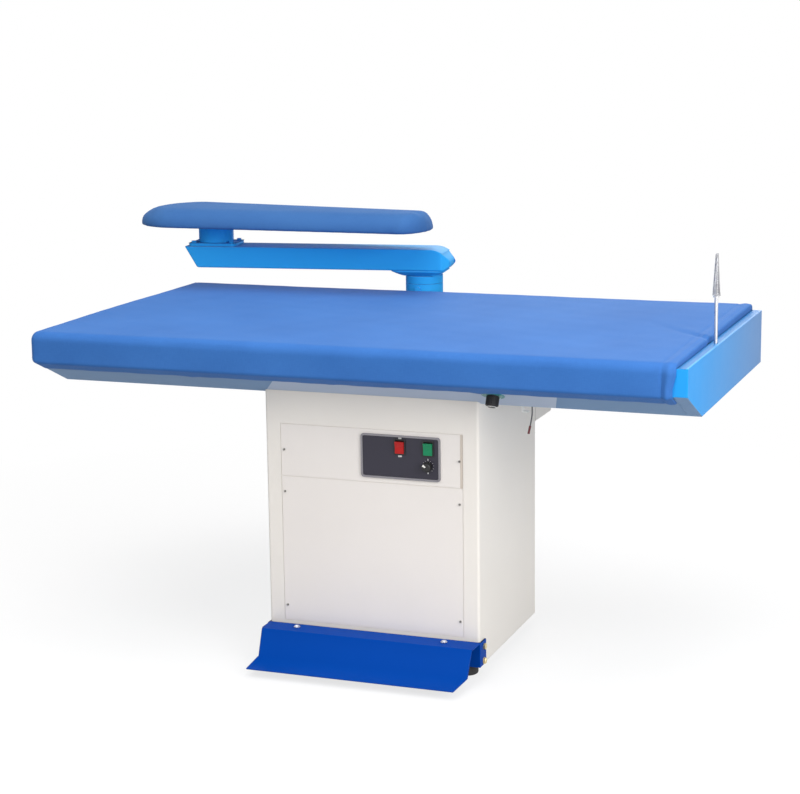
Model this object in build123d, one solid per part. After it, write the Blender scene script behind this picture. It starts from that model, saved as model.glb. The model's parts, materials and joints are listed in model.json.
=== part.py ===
from build123d import *
import math
import os

# Vacuum ironing table: a wide heated suction table on a sheet-metal cabinet,
# with a padded sleeve buck on a hollow swing arm. Lengths are in millimetres.
# While it is modelled, X = 0 and Y = 0 are the middle of the cabinet and the
# front is -Y. The last step moves the origin to the middle of the whole
# footprint, on the floor.

# Clearances
fit_gap = 0.2
soft_gap = 0.3
running_gap = 0.05
moving_gap = 0.4

# How far a cutter runs past the face that it opens
cut_past = 1.0

# Cabinet
cabinet_width = 504.0
cabinet_depth = 430.0
cabinet_height = 591.0
cabinet_sheet = 1.5
cabinet_corner = 6.0
base_plate_thickness = 3.0
foot_height = 22.0
foot_diameter = 54.0
foot_rounding = 4.0
front_foot_inset_x = 38.0
rear_foot_inset_x = 60.0
foot_inset_y = 20.0

# Front window, its ledge and its two panels
window_side_border = 36.0
window_top_border = 67.0
window_bottom_border = 65.0
panel_gap = 1.5
panel_ledge = 14.0
ledge_lap = 12.0
switch_panel_height = 121.0
panel_screw_inset = 7.0
access_screw_inset = 36.0
panel_screw_head = 8.0
panel_screw_rise = 2.0
panel_screw_shank = 4.0
panel_screw_reach = 9.0

# Control plate with two rockers and a knob
control_width = 186.0
control_height = 99.0
control_corner = 7.0
control_frame_border = 4.5
control_frame_thickness = 4.0
control_plate_thickness = 2.5
control_offset_x = 71.5
control_drop = 60.0
red_switch_offset = (-0.7, 23.8)
green_switch_offset = (65.2, 23.8)
control_knob_offset = (64.5, -16.0)
switch_flange_width = 27.0
switch_flange_height = 35.0
switch_flange_thickness = 2.5
switch_body_width = 23.6
switch_body_height = 32.2
switch_body_depth = 24.0
switch_pocket_depth = 9.0
rocker_width = 20.0
rocker_height = 27.0
rocker_rise = 4.5
rocker_dip = 2.0
rocker_depth = 4.0
rocker_foot_height = 21.6
rocker_pin_diameter = 3.0
rocker_pin_reach = 1.2
rocker_sweep_room = 1.5
rocker_tilt = 7.0
control_knob_diameter = 24.0
control_knob_height = 15.0
control_knob_chamfer = 2.0
pot_diameter = 24.0
pot_depth = 12.0
pot_bush_diameter = 10.0
spindle_diameter = 6.0

# Table tray
table_length = 1500.0
table_depth = 820.0
table_offset_x = -15.0
table_front_overhang = 130.0
rim_height = 126.0
front_wall_height = 59.0
chamfer_depth = 147.0
tray_sheet = 2.0
end_cap_depth = 28.0
end_cap_top_flange = 23.0

# Deck, rails, heater and pad
deck_thickness = 3.0
deck_drop = 6.0
deck_hole_diameter = 14.0
deck_hole_pitch = 90.0
deck_hole_margin = 70.0
rail_thickness = 3.0
front_rail_y = -125.0
back_rail_y = 255.0
heater_diameter = 10.0
heater_passes = 4
heater_pitch = 90.0
heater_front_y = -70.0
heater_end_margin = 160.0
pad_thickness = 10.0

# Cloth cover over the table
cover_skin = 5.0
cover_top = 3.0
cover_crown = 3.5
cover_edge_round = 7.0
cover_back_skirt = 58.0
cover_chamfer_wrap = 44.0
cover_end_round = 10.0
cover_hem_round = 4.0
cover_hem_gap = 6.0

# Thermostat under the front edge
thermostat_x = 305.0
thermostat_down_slope = 74.0
dial_diameter = 50.0
dial_thickness = 1.5
thermostat_knob_diameter = 30.0
thermostat_knob_height = 25.0
thermostat_knob_chamfer = 2.0
thermostat_body_size = 36.0
thermostat_body_depth = 22.0

# Short loose lead under the tray, with its grommet, sleeve and clip
lead_diameter = 3.0
lead_points = [
    (355.5, -160.0, 613.0),
    (356.0, -160.0, 598.0),
    (355.6, -160.6, 582.0),
    (351.6, -161.0, 563.0),
]
lead_bend_share = 0.45
grommet_diameter = 9.0
grommet_height = 4.0
sleeve_diameter = 5.0
sleeve_length = 18.0
clip_width = 15.0
clip_depth = 8.0
clip_drop = 21.0
clip_thickness = 3.0
clip_x = 341.0

# Mast on the right end cap
mast_diameter = 8.0
mast_edge_inset = 10.0
mast_y = -25.0
mast_below = 18.0
mast_height = 103.0
mast_collar_diameter = 15.0
mast_collar_thickness = 2.5
mast_stub = 12.0
mast_nut_flats = 13.0
mast_nut_height = 6.5
spring_turns = 39
spring_pitch = 2.3
spring_wire = 1.75
spring_bottom_radius = 6.8
spring_top_radius = 2.1

# Rear support behind the cabinet's top
support_depth = 210.0
support_flat = 130.0
support_height = 121.0

# Blower in the cabinet, axis upright
duct_diameter = 150.0
duct_wall = 2.0
duct_collar = 14.0
duct_collar_thickness = 3.0
volute_radius = 165.0
volute_height = 110.0
volute_wall = 2.0
volute_floor = 320.0
outlet_width = 92.0
eye_diameter = 126.0
inlet_ring_height = 10.0
impeller_diameter = 270.0
impeller_plate = 3.0
impeller_clearance = 10.0
blade_count = 9
blade_thickness = 2.5
hub_diameter = 40.0
shaft_diameter = 14.0
shaft_below = 20.0
motor_diameter = 140.0
motor_height = 150.0
motor_flange_diameter = 190.0
motor_flange_thickness = 6.0
leg_size = 20.0
leg_spacing = 216.0
exhaust_bore = 80.0
exhaust_wall = 3.0
exhaust_length = 40.0
exhaust_flange = 104.0
exhaust_flange_thickness = 3.0
gland_bore = 12.0
gland_flats = 24.0
gland_height = 14.0
gland_neck = 18.0
gland_inset = 60.0
gland_rise = 70.0

# Foot pedal
pedal_sheet = 3.0
pedal_back_width = 508.0
pedal_toe_width = 486.0
pedal_offset_x = 4.0
pedal_lip_top = 82.0
pedal_lip_gap = 9.0
pedal_lip_depth = 53.0
pedal_face_run = 26.0
pedal_face_foot = 26.0
pedal_toe_length = 79.0
pedal_toe_drop = 4.0
pedal_frame_bottom = 24.0
pedal_flange_depth = 36.0
ear_gap = 1.0
ear_thickness = 3.0
ear_back = 34.0
pivot_diameter = 10.0
pivot_inset_y = 17.0
pivot_z = 66.0
pivot_head_flats = 13.0
pivot_head_height = 5.0
guide_drop = 33.0
guide_diameter = 6.0
guide_slot_travel = 2.4
guide_slot_room = 0.5
pedal_press_angle = 4.0
crank_length = 60.0
crank_width = 14.0
crank_thickness = 5.0
crank_wall_gap = 6.0
return_spring_radius = 6.0
return_spring_wire = 1.6
return_spring_turns = 9
lip_bolt_spacing = 352.0
lip_bolt_setback = 24.0
lip_bolt_diameter = 8.0
lip_bolt_flats = 13.0
lip_bolt_head = 5.0
plunger_diameter = 6.0
plunger_x = 60.0
plunger_z = 40.0
plunger_collar = 10.0
pedal_switch_size = (28.0, 16.0, 18.0)

# Swivel post behind the table, and the hollow swing arm
post_x = -137.0
post_setback = 55.0
post_diameter = 95.0
post_wall = 5.0
post_joint_z = 768.0
post_plate_width = 150.0
post_plate_height = 56.0
post_plate_thickness = 6.0
post_web_width = 70.0
post_bolt_diameter = 8.0
post_bolt_flats = 13.0
post_bolt_head = 5.0
post_bolt_inset = 14.0
spigot_lift = 10.0
bush_height = 20.0
bush_wall = 4.0
spigot_wall = 4.0
collar_height = 19.0
arm_pad_thickness = 15.0
arm_pad_length = 140.0
arm_pad_round = 12.0
lock_screw_drop = 13.0
lock_screw_diameter = 8.0
lock_screw_flats = 13.0
lock_screw_head = 6.0
arm_width = 100.0
arm_height = 55.0
arm_sheet = 2.0
arm_angle = 7.6
arm_bottom_reach = 592.0
arm_top_reach = 625.0
arm_nose_top = 41.0
arm_nose_tip = 81.0
arm_nose_bottom = 60.0
arm_nose_tip_height = 27.0
arm_nose_corner = 28.0

# Sleeve buck on the arm's end
buck_pivot_reach = 553.0
buck_angle = -4.0
buck_gap = 57.0
buck_post_diameter = 90.0
buck_spigot_diameter = 72.0
buck_spigot_wall = 4.0
buck_flange_length = 126.0
buck_flange_width = 92.0
buck_flange_corner = 12.0
buck_flange_thickness = 8.0
buck_bolt_inset = 12.0
buck_bolt_diameter = 6.0
buck_bolt_flats = 10.0
buck_bolt_head = 5.0
buck_left = 202.0
buck_right = 602.0
buck_left_half_width = 135.0
buck_right_half_width = 90.0
buck_left_round = 130.0
buck_right_round = 55.0
buck_pan_inset = 8.0
buck_pan_depth = 14.0
buck_pan_sheet = 2.0
buck_skirt_drop = 2.0
buck_skirt_draw = 5.0
buck_widest_height = 7.0
buck_shoulder = [(22.0, 1.5), (33.0, 9.0), (40.0, 24.0), (44.0, 52.0)]

# Places that follow from the sizes above
cabinet_bottom = foot_height
cabinet_top = cabinet_bottom + cabinet_height
front_y = -cabinet_depth / 2
back_y = cabinet_depth / 2
side_x = cabinet_width / 2
inner_front_y = front_y + cabinet_sheet
window_half = side_x - window_side_border
window_top = cabinet_top - window_top_border
window_bottom = cabinet_bottom + window_bottom_border
panel_split = window_top - switch_panel_height
control_z = window_top - control_drop
base_top = cabinet_bottom + base_plate_thickness

table_left = table_offset_x - table_length / 2
table_right = table_offset_x + table_length / 2
table_front = front_y - table_front_overhang
table_back = table_front + table_depth
tray_bottom = cabinet_top
rim_z = tray_bottom + rim_height
front_wall_bottom = rim_z - front_wall_height
chamfer_y = table_front + chamfer_depth
tray_left = table_left + tray_sheet
tray_right = table_right - end_cap_depth
deck_top = rim_z - deck_drop
deck_bottom = deck_top - deck_thickness
cover_right = table_right - end_cap_top_flange - cover_hem_gap
pad_top = deck_top + soft_gap + pad_thickness
cover_edge_z = pad_top + soft_gap + cover_top

volute_top = volute_floor + volute_height
duct_radius = duct_diameter / 2
outlet_right = volute_radius
outlet_left = volute_radius - outlet_width
exhaust_x = (outlet_left + outlet_right) / 2
exhaust_z = volute_floor + volute_height / 2

pivot_y = front_y + pivot_inset_y
pedal_back = front_y - pedal_lip_gap
frame_inner_y = pedal_back + pedal_sheet
lip_front = pedal_back - pedal_lip_depth
face_foot_y = lip_front - pedal_face_run
toe_y = face_foot_y - pedal_toe_length
lip_bottom = pedal_lip_top - pedal_sheet

post_y = table_back + post_setback
lock_screw_z = post_joint_z - lock_screw_drop
post_plate_top = rim_z - cover_back_skirt - 2 * soft_gap
post_plate_bottom = post_plate_top - post_plate_height
spigot_bottom = post_plate_top + spigot_lift
arm_bottom = post_joint_z + moving_gap + collar_height + arm_pad_thickness
arm_top = arm_bottom + arm_height
spigot_radius = post_diameter / 2 - post_wall - bush_wall - running_gap
arm_bore = spigot_radius - spigot_wall
arm_direction = (-math.cos(math.radians(arm_angle)), -math.sin(math.radians(arm_angle)))
buck_x = post_x + buck_pivot_reach * arm_direction[0]
buck_y = post_y + buck_pivot_reach * arm_direction[1]
buck_bottom = arm_top + buck_gap
buck_spigot_top = buck_bottom - moving_gap
arm_place = Pos(post_x, post_y, 0) * Rot(0, 0, arm_angle)
buck_place = Pos(buck_x, buck_y, 0) * Rot(0, 0, buck_angle)

slope = math.hypot(chamfer_depth, rim_height - front_wall_height)
slope_along = (chamfer_depth / slope, (front_wall_height - rim_height) / slope)
slope_normal = Vector(0, slope_along[1], -slope_along[0])
thermostat_place = Plane(
    origin=(
        thermostat_x,
        table_front + thermostat_down_slope * slope_along[0],
        front_wall_bottom + thermostat_down_slope * slope_along[1],
    ),
    x_dir=(1, 0, 0),
    z_dir=slope_normal,
)


# Helpers for plain solids

def block(x0, x1, y0, y1, z0, z1):
    centre = ((x0 + x1) / 2, (y0 + y1) / 2, (z0 + z1) / 2)
    return Pos(*centre) * Box(x1 - x0, y1 - y0, z1 - z0)


def rod(start, direction, length, radius):
    base = (Align.CENTER, Align.CENTER, Align.MIN)
    return Plane(origin=start, z_dir=direction) * Cylinder(radius, length, align=base)


def hole(start, direction, depth, radius):
    """Drill through a wall: it runs past both faces."""
    way = Vector(*direction)
    return rod(Vector(*start) - way * cut_past, direction, depth + 2 * cut_past, radius)


def hex_prism(start, direction, flats, height):
    outline = Plane(origin=start, z_dir=direction) * RegularPolygon(flats / 2, 6, major_radius=False)
    return extrude(outline, height)


def prism_x(points, x0, x1):
    """Closed outline of (y, z) points, drawn out along X."""
    outline = make_face(Polyline(*points, close=True))
    return extrude(Plane.YZ.offset(x0) * outline, x1 - x0)


def bent_sheet(points, thickness):
    """Outline of a folded sheet: the given side, and its mitred offset to the left of the path."""
    normals = []
    for (ya, za), (yb, zb) in zip(points, points[1:]):
        length = math.hypot(yb - ya, zb - za)
        normals.append((-(zb - za) / length, (yb - ya) / length))
    offset_side = []
    for index, (y, z) in enumerate(points):
        before = normals[max(index - 1, 0)]
        after = normals[min(index, len(normals) - 1)]
        share = thickness / (1 + before[0] * after[0] + before[1] * after[1])
        offset_side.append((y + share * (before[0] + after[0]), z + share * (before[1] + after[1])))
    return list(points) + offset_side[::-1]


def screw(start, direction, head_flats, head_height, shank_diameter, shank_length):
    """Hexagon bolt whose head sits on the start point and whose shank runs back from it."""
    back = Vector(*direction) * -1
    head = hex_prism(start, direction, head_flats, head_height)
    return head + rod(start, back, shank_length, shank_diameter / 2)


# Wound springs

def spring_point(place, index, turns, pitch, radii):
    """Point and unit tangent of the helix after a number of half turns."""
    x, y, z = place
    angle = math.pi * index
    share = index / (2 * turns)
    radius = radii[0] + (radii[1] - radii[0]) * share
    growth = (radii[1] - radii[0]) / (2 * math.pi * turns)
    point = Vector(x + radius * math.cos(angle), y + radius * math.sin(angle), z + pitch * index / 2)
    tangent = Vector(
        growth * math.cos(angle) - radius * math.sin(angle),
        growth * math.sin(angle) + radius * math.cos(angle),
        pitch / (2 * math.pi),
    )
    return point, tangent.normalized()


def biarc(start, start_tangent, end, end_tangent):
    """Two arcs that leave the start and reach the end along the given tangents."""
    chord = end - start
    both = start_tangent + end_tangent
    spread = 2 * (1 - start_tangent.dot(end_tangent))
    reach = (math.sqrt(chord.dot(both) ** 2 + spread * chord.dot(chord)) - chord.dot(both)) / spread
    middle = (start + end + (start_tangent - end_tangent) * reach) * 0.5
    middle_tangent = (end - end_tangent * reach) - (start + start_tangent * reach)
    first = Edge.make_tangent_arc(start, start_tangent, middle)
    second = Edge.make_tangent_arc(middle, middle_tangent.normalized(), end)
    return [first, second]


def least_self_gap(path, turns, wire):
    """Smallest space between the wire's turns, measured on points along its middle line."""
    per_turn = 16
    count = turns * per_turn
    points = [path @ (step / count) for step in range(count + 1)]
    nearest = min(
        (points[i] - points[j]).length
        for i in range(count + 1)
        for j in range(i + per_turn // 2, min(i + 2 * per_turn, count + 1))
    )
    return nearest - wire


def wound_spring(name, place, turns, pitch, radii, wire):
    knots = [spring_point(place, index, turns, pitch, radii) for index in range(2 * turns + 1)]
    first_point, first_tangent = knots[0]
    last_point, last_tangent = knots[-1]
    edges = [Edge.make_line(first_point - first_tangent * wire, first_point)]
    for (start, start_tangent), (end, end_tangent) in zip(knots, knots[1:]):
        edges += biarc(start, start_tangent, end, end_tangent)
    edges.append(Edge.make_line(last_point, last_point + last_tangent * wire))
    path = Wire(edges)
    section = Plane(origin=path @ 0, z_dir=path % 0) * Circle(wire / 2)
    print(f"{name}: {turns} turns, least gap between turns {least_self_gap(path, turns, wire):.2f} mm")
    return sweep(section, path=path)


# Cabinet

def cabinet_outline(inset):
    return RectangleRounded(cabinet_width - 2 * inset, cabinet_depth - 2 * inset, cabinet_corner - inset)


def front_lip():
    """Upstand of the walls that closes the wedge under the tray's slope, round both front corners."""
    fall = (rim_height - front_wall_height) / chamfer_depth
    lip_top = tray_bottom + (chamfer_y - front_y) * fall - soft_gap
    root = cabinet_top - cabinet_sheet
    lip_end_y = front_y + (lip_top - cabinet_top) / fall
    walls = cabinet_outline(0) - cabinet_outline(cabinet_sheet)
    upstand = extrude(Pos(0, 0, root) * walls, lip_top - root)
    under_slope = [(front_y, root), (front_y, lip_top), (lip_end_y, cabinet_top), (lip_end_y, root)]
    return upstand & prism_x(under_slope, -side_x, side_x)


def cabinet_shell():
    floor = Pos(0, 0, cabinet_bottom)
    shell = extrude(floor * cabinet_outline(0), cabinet_height)
    shell -= extrude(floor * cabinet_outline(cabinet_sheet), cabinet_height - cabinet_sheet)
    shell += front_lip()
    window_y = (front_y - cut_past, inner_front_y + cut_past)
    shell -= block(-window_half, window_half, *window_y, window_bottom, window_top)
    shell -= hole((0, 0, cabinet_top), (0, 0, -1), cabinet_sheet, duct_radius + fit_gap)
    for side in (-1, 1):
        start = (side * side_x, pivot_y, pivot_z)
        shell -= hole(start, (-side, 0, 0), cabinet_sheet, pivot_diameter / 2 + running_gap)
        guide = (side * side_x, pivot_y, pivot_z - guide_drop)
        shell -= hole(guide, (-side, 0, 0), cabinet_sheet, guide_diameter / 2 + fit_gap)
    plunger_hole = plunger_diameter / 2 + running_gap
    shell -= hole((plunger_x, front_y, plunger_z), (0, 1, 0), cabinet_sheet, plunger_hole)
    exhaust_hole = exhaust_bore / 2 + exhaust_wall
    shell -= hole((exhaust_x, back_y, exhaust_z), (0, -1, 0), cabinet_sheet, exhaust_hole)
    shell -= hole(gland_start(0), (0, -1, 0), cabinet_sheet, gland_neck / 2 + fit_gap)
    return shell


def base_plate():
    outline = cabinet_outline(cabinet_sheet + fit_gap)
    return extrude(Pos(0, 0, cabinet_bottom) * outline, base_plate_thickness)


def rubber_feet():
    feet = []
    for x in (-1, 1):
        for y, inset_x in ((-1, front_foot_inset_x), (1, rear_foot_inset_x)):
            place = (x * (side_x - inset_x), y * (back_y - foot_inset_y), 0)
            foot = rod(place, (0, 0, 1), foot_height, foot_diameter / 2)
            feet.append(fillet(foot.edges().sort_by(Axis.Z)[:1], foot_rounding))
    return Compound(children=feet)


def ledge_frame():
    """Ring and cross bar behind the front wall that the two panels are screwed to."""
    y0 = inner_front_y
    y1 = inner_front_y + cabinet_sheet
    outer = window_half + ledge_lap
    inner = window_half - panel_ledge
    ring = block(-outer, outer, y0, y1, window_bottom - ledge_lap, window_top + ledge_lap)
    z0 = window_bottom + panel_ledge
    z1 = window_top - panel_ledge
    ring -= block(-inner, inner, y0 - cut_past, y1 + cut_past, z0, z1)
    ring += block(-inner, inner, y0, y1, panel_split - panel_ledge, panel_split + panel_ledge)
    for x, z in panel_screw_places():
        ring -= rod((x, front_y, z), (0, 1, 0), 4 * cabinet_sheet, panel_screw_shank / 2 + fit_gap)
    return ring


def switch_screw_places():
    x = window_half - panel_gap - panel_screw_inset
    z = panel_split + switch_panel_height / 2
    return [(-x, z), (x, z)]


def access_screw_places():
    x = window_half - panel_gap - panel_screw_inset
    heights = (panel_split - access_screw_inset, window_bottom + access_screw_inset)
    return [(side * x, z) for z in heights for side in (-1, 1)]


def panel_screw_places():
    return switch_screw_places() + access_screw_places()


def panel_screws():
    screws = []
    for x, z in panel_screw_places():
        start = (x, front_y, z)
        head = rod(start, (0, -1, 0), panel_screw_rise, panel_screw_head / 2)
        head = fillet(head.edges().sort_by(Axis.Y)[:1], panel_screw_rise / 2)
        screws.append(head + rod(start, (0, 1, 0), panel_screw_reach, panel_screw_shank / 2))
    return Compound(children=screws)


def drilled_panel(z0, z1, places):
    panel = block(-window_half + panel_gap, window_half - panel_gap, front_y, inner_front_y, z0, z1)
    for x, z in places:
        panel -= hole((x, front_y, z), (0, 1, 0), cabinet_sheet, panel_screw_shank / 2 + fit_gap)
    return panel


def switch_panel():
    panel = drilled_panel(panel_split + panel_gap / 2, window_top - panel_gap, switch_screw_places())
    return panel - control_holes(front_y - cut_past, inner_front_y + cut_past)


def access_panel():
    return drilled_panel(window_bottom + panel_gap, panel_split - panel_gap / 2, access_screw_places())


# Control plate, rockers and knob

def control_place(offset):
    return control_offset_x + offset[0], control_z + offset[1]


def control_holes(y0, y1):
    holes = []
    for offset in (red_switch_offset, green_switch_offset):
        x, z = control_place(offset)
        half_width = switch_body_width / 2 + fit_gap
        half_height = switch_body_height / 2 + fit_gap
        holes.append(block(x - half_width, x + half_width, y0, y1, z - half_height, z + half_height))
    x, z = control_place(control_knob_offset)
    holes.append(rod((x, y0, z), (0, 1, 0), y1 - y0, pot_bush_diameter / 2 + fit_gap))
    return holes


def control_slab(width, height, corner, thickness):
    face = Plane(origin=(control_offset_x, front_y, control_z), x_dir=(1, 0, 0), z_dir=(0, -1, 0))
    return extrude(face * RectangleRounded(width, height, corner), thickness)


def control_frame():
    frame = control_slab(control_width, control_height, control_corner, control_frame_thickness)
    opening = 2 * control_frame_border
    frame -= control_slab(
        control_width - opening,
        control_height - opening,
        control_corner / 2,
        control_frame_thickness + cut_past,
    )
    return frame


def control_plate():
    opening = 2 * (control_frame_border + fit_gap)
    width = control_width - opening
    height = control_height - opening
    plate = control_slab(width, height, control_corner / 2 - fit_gap, control_plate_thickness)
    return plate - control_holes(front_y - 2 * control_plate_thickness, front_y + cut_past)


def switch_pivot(offset):
    x, z = control_place(offset)
    return Vector(x, front_y - control_plate_thickness + rocker_depth / 2, z)


def switch_body(offset):
    x, z = control_place(offset)
    face_y = front_y - control_plate_thickness
    half_w = switch_flange_width / 2
    half_h = switch_flange_height / 2
    body = block(x - half_w, x + half_w, face_y - switch_flange_thickness, face_y, z - half_h, z + half_h)
    half_w = switch_body_width / 2
    half_h = switch_body_height / 2
    body += block(x - half_w, x + half_w, face_y, face_y + switch_body_depth, z - half_h, z + half_h)
    half_w = rocker_width / 2 + moving_gap
    half_h = rocker_height / 2 + rocker_sweep_room
    pocket_front = face_y - 2 * switch_flange_thickness
    pocket_back = face_y + switch_pocket_depth
    body -= block(x - half_w, x + half_w, pocket_front, pocket_back, z - half_h, z + half_h)
    pin_half = rocker_width / 2 + rocker_pin_reach + fit_gap
    pivot = switch_pivot(offset)
    body -= rod((x - pin_half, pivot.Y, z), (1, 0, 0), 2 * pin_half, rocker_pin_diameter / 2 + running_gap)
    return body


def rocker(offset):
    """Dished rocker that stands tilted on its pins, with its lower end pressed in."""
    pivot = switch_pivot(offset)
    half = rocker_height / 2
    foot = rocker_foot_height / 2
    face_y = -switch_flange_thickness - rocker_depth / 2
    points = [
        (face_y - rocker_rise + rocker_dip, 0),
        (face_y - rocker_rise, half),
        (rocker_depth / 2, foot),
        (rocker_depth / 2, -foot),
        (face_y - rocker_rise, -half),
    ]
    shape = prism_x(points, -rocker_width / 2, rocker_width / 2)
    pin_half = rocker_width / 2 + rocker_pin_reach
    shape += rod((-pin_half, 0, 0), (1, 0, 0), 2 * pin_half, rocker_pin_diameter / 2)
    return Pos(*pivot) * Rot(rocker_tilt, 0, 0) * shape


def control_pot():
    x, z = control_place(control_knob_offset)
    body = rod((x, inner_front_y, z), (0, 1, 0), pot_depth, pot_diameter / 2)
    length = control_plate_thickness + cabinet_sheet
    body += rod((x, inner_front_y, z), (0, -1, 0), length, pot_bush_diameter / 2)
    bore = spindle_diameter / 2 + running_gap
    return body - rod((x, front_y - 2 * length, z), (0, 1, 0), pot_depth + 2 * length, bore)


def control_knob():
    x, z = control_place(control_knob_offset)
    face_y = front_y - control_plate_thickness - moving_gap
    knob = rod((x, face_y, z), (0, -1, 0), control_knob_height, control_knob_diameter / 2)
    knob = chamfer(knob.edges().sort_by(Axis.Y)[:1], control_knob_chamfer)
    knob += rod((x, face_y, z), (0, 1, 0), control_plate_thickness + pot_depth, spindle_diameter / 2)
    return knob


# Table tray, end caps, deck and heater

def tray_corners():
    return [
        (table_front, rim_z),
        (table_front, front_wall_bottom),
        (chamfer_y, tray_bottom),
        (table_back, tray_bottom),
        (table_back, rim_z),
    ]


def tray():
    body = prism_x(bent_sheet(tray_corners(), tray_sheet), tray_left, tray_right)
    body -= hole((0, 0, tray_bottom), (0, 0, 1), tray_sheet, duct_radius + fit_gap)
    body -= thermostat_place * Cylinder(spindle_diameter, 6 * tray_sheet)
    body -= post_web(post_wall, table_back - 2 * tray_sheet)
    for x, z in post_bolt_places():
        start = (x, table_back - 2 * tray_sheet, z)
        body -= rod(start, (0, 1, 0), 3 * tray_sheet, post_bolt_diameter / 2 + fit_gap)
    lead_x, lead_y = lead_points[0][:2]
    lead_start = (lead_x, lead_y, tray_bottom)
    return body - hole(lead_start, (0, 0, 1), tray_sheet, lead_diameter / 2 + fit_gap)


def left_end_cap():
    return prism_x(tray_corners(), table_left, tray_left)


def right_end_cap():
    cap = prism_x(tray_corners(), tray_right, table_right)
    hollow = offset(make_face(Polyline(*tray_corners(), close=True)), amount=-tray_sheet)
    cap -= extrude(Plane.YZ.offset(tray_right - cut_past) * hollow, end_cap_depth + cut_past - tray_sheet)
    slot_right = table_right - end_cap_top_flange
    slot_front = table_front + tray_sheet
    slot_back = table_back - tray_sheet
    slot_z = (rim_z - 2 * tray_sheet, rim_z + cut_past)
    cap -= block(tray_right - cut_past, slot_right, slot_front, slot_back, *slot_z)
    x, y = mast_place()
    return cap - hole((x, y, rim_z), (0, 0, -1), tray_sheet, mast_diameter / 2 + fit_gap)


def deck_plate():
    x0 = tray_left + fit_gap
    x1 = tray_right - fit_gap
    y0 = table_front + tray_sheet + fit_gap
    y1 = table_back - tray_sheet - fit_gap
    plate = block(x0, x1, y0, y1, deck_bottom, deck_top)
    columns = int((x1 - x0 - 2 * deck_hole_margin) / deck_hole_pitch) + 1
    rows = int((y1 - y0 - 2 * deck_hole_margin) / deck_hole_pitch) + 1
    grid = GridLocations(deck_hole_pitch, deck_hole_pitch, columns, rows)
    middle = Pos((x0 + x1) / 2, (y0 + y1) / 2, deck_bottom - cut_past)
    holes = [middle * place * Circle(deck_hole_diameter / 2) for place in grid]
    return plate - extrude(Sketch() + holes, deck_thickness + 2 * cut_past)


def deck_rails():
    rails = []
    x0 = tray_left + fit_gap
    x1 = tray_right - fit_gap
    half = rail_thickness / 2
    for y in (front_rail_y, back_rail_y):
        rails.append(block(x0, x1, y - half, y + half, tray_bottom + tray_sheet, deck_bottom))
    return Compound(children=rails)


def heater_element():
    z = deck_bottom - heater_diameter / 2 - soft_gap
    x0 = tray_left + heater_end_margin
    x1 = tray_right - heater_end_margin
    points = []
    for index in range(heater_passes):
        y = heater_front_y + index * heater_pitch
        ends = (x0, x1) if index % 2 == 0 else (x1, x0)
        points += [(x, y, z) for x in ends]
    path = FilletPolyline(*points, radius=heater_pitch / 2 - fit_gap)
    section = Plane(origin=path @ 0, z_dir=path % 0) * Circle(heater_diameter / 2)
    return sweep(section, path=path)


def table_pad_block(grow):
    """Foam sheet on the deck, or the room that it takes in the cover."""
    x0 = tray_left + soft_gap - grow
    x1 = cover_right - cover_skin - soft_gap + grow
    y0 = table_front + tray_sheet + soft_gap - grow
    y1 = table_back - tray_sheet - soft_gap + grow
    return block(x0, x1, y0, y1, deck_top + soft_gap - grow, pad_top + grow)


def cover_section(inset, crown):
    """Outer outline of the cover: hem on the slope, front, crowned top, back skirt."""
    wrap_y = table_front + cover_chamfer_wrap * slope_along[0]
    wrap_z = front_wall_bottom + cover_chamfer_wrap * slope_along[1]
    skin = cover_skin - inset / 2
    edge = cover_edge_z - inset
    front = table_front - skin
    back = table_back + skin
    fold_z = front_wall_bottom - skin * (1 - slope_along[0]) / -slope_along[1]
    hem = (wrap_y + skin * slope_normal.Y, wrap_z + skin * slope_normal.Z)
    inner_hem = (wrap_y - cover_skin * slope_normal.Y, wrap_z - cover_skin * slope_normal.Z)
    skirt_z = rim_z - cover_back_skirt
    top_front = (front + cover_edge_round, edge)
    top_back = (back - cover_edge_round, edge)
    bend = cover_edge_round * (1 - math.sqrt(0.5))
    lines = [
        Line(hem, (front, fold_z)),
        Line((front, fold_z), (front, edge - cover_edge_round)),
        ThreePointArc((front, edge - cover_edge_round), (front + bend, edge - bend), top_front),
        ThreePointArc(top_front, ((front + back) / 2, edge + crown), top_back),
        ThreePointArc(top_back, (back - bend, edge - bend), (back, edge - cover_edge_round)),
        Line((back, edge - cover_edge_round), (back, skirt_z)),
        Line((back, skirt_z), inner_hem),
        Line(inner_hem, hem),
    ]
    return make_face(Curve() + lines)


def table_cover():
    """Cloth cap over the pad and the tray's rim, closed at the left end, tucked in at the right."""
    left = table_left - cover_skin
    bend = cover_end_round * (1 - math.sqrt(0.5))
    stations = [
        (left, cover_end_round, cover_crown / 4),
        (left + bend, bend, cover_crown / 3),
        (left + cover_end_round, 0.0, cover_crown / 2),
        (table_offset_x, 0.0, cover_crown),
        (cover_right - cover_hem_round, 0.0, cover_crown / 2),
        (cover_right, cover_hem_round, cover_crown / 3),
    ]
    sections = [Plane.YZ.offset(x) * cover_section(inset, crown) for x, inset, crown in stations]
    cover = loft(sections, ruled=True)
    hollow = offset(make_face(Polyline(*tray_corners(), close=True)), amount=soft_gap)
    cover -= extrude(Plane.YZ.offset(table_left - soft_gap) * hollow, table_length + cut_past)
    return cover - table_pad_block(soft_gap)


# Thermostat, lead and mast

def thermostat_body():
    half = tray_sheet + thermostat_body_depth / 2
    body = Pos(0, 0, -half) * Box(thermostat_body_size, thermostat_body_size, thermostat_body_depth)
    body -= Cylinder(spindle_diameter / 2 + running_gap, 4 * thermostat_body_depth)
    return thermostat_place * body


def dial_plate():
    disc = Pos(0, 0, dial_thickness / 2) * Cylinder(dial_diameter / 2, dial_thickness)
    return thermostat_place * (disc - Cylinder(spindle_diameter, 4 * dial_thickness))


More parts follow.
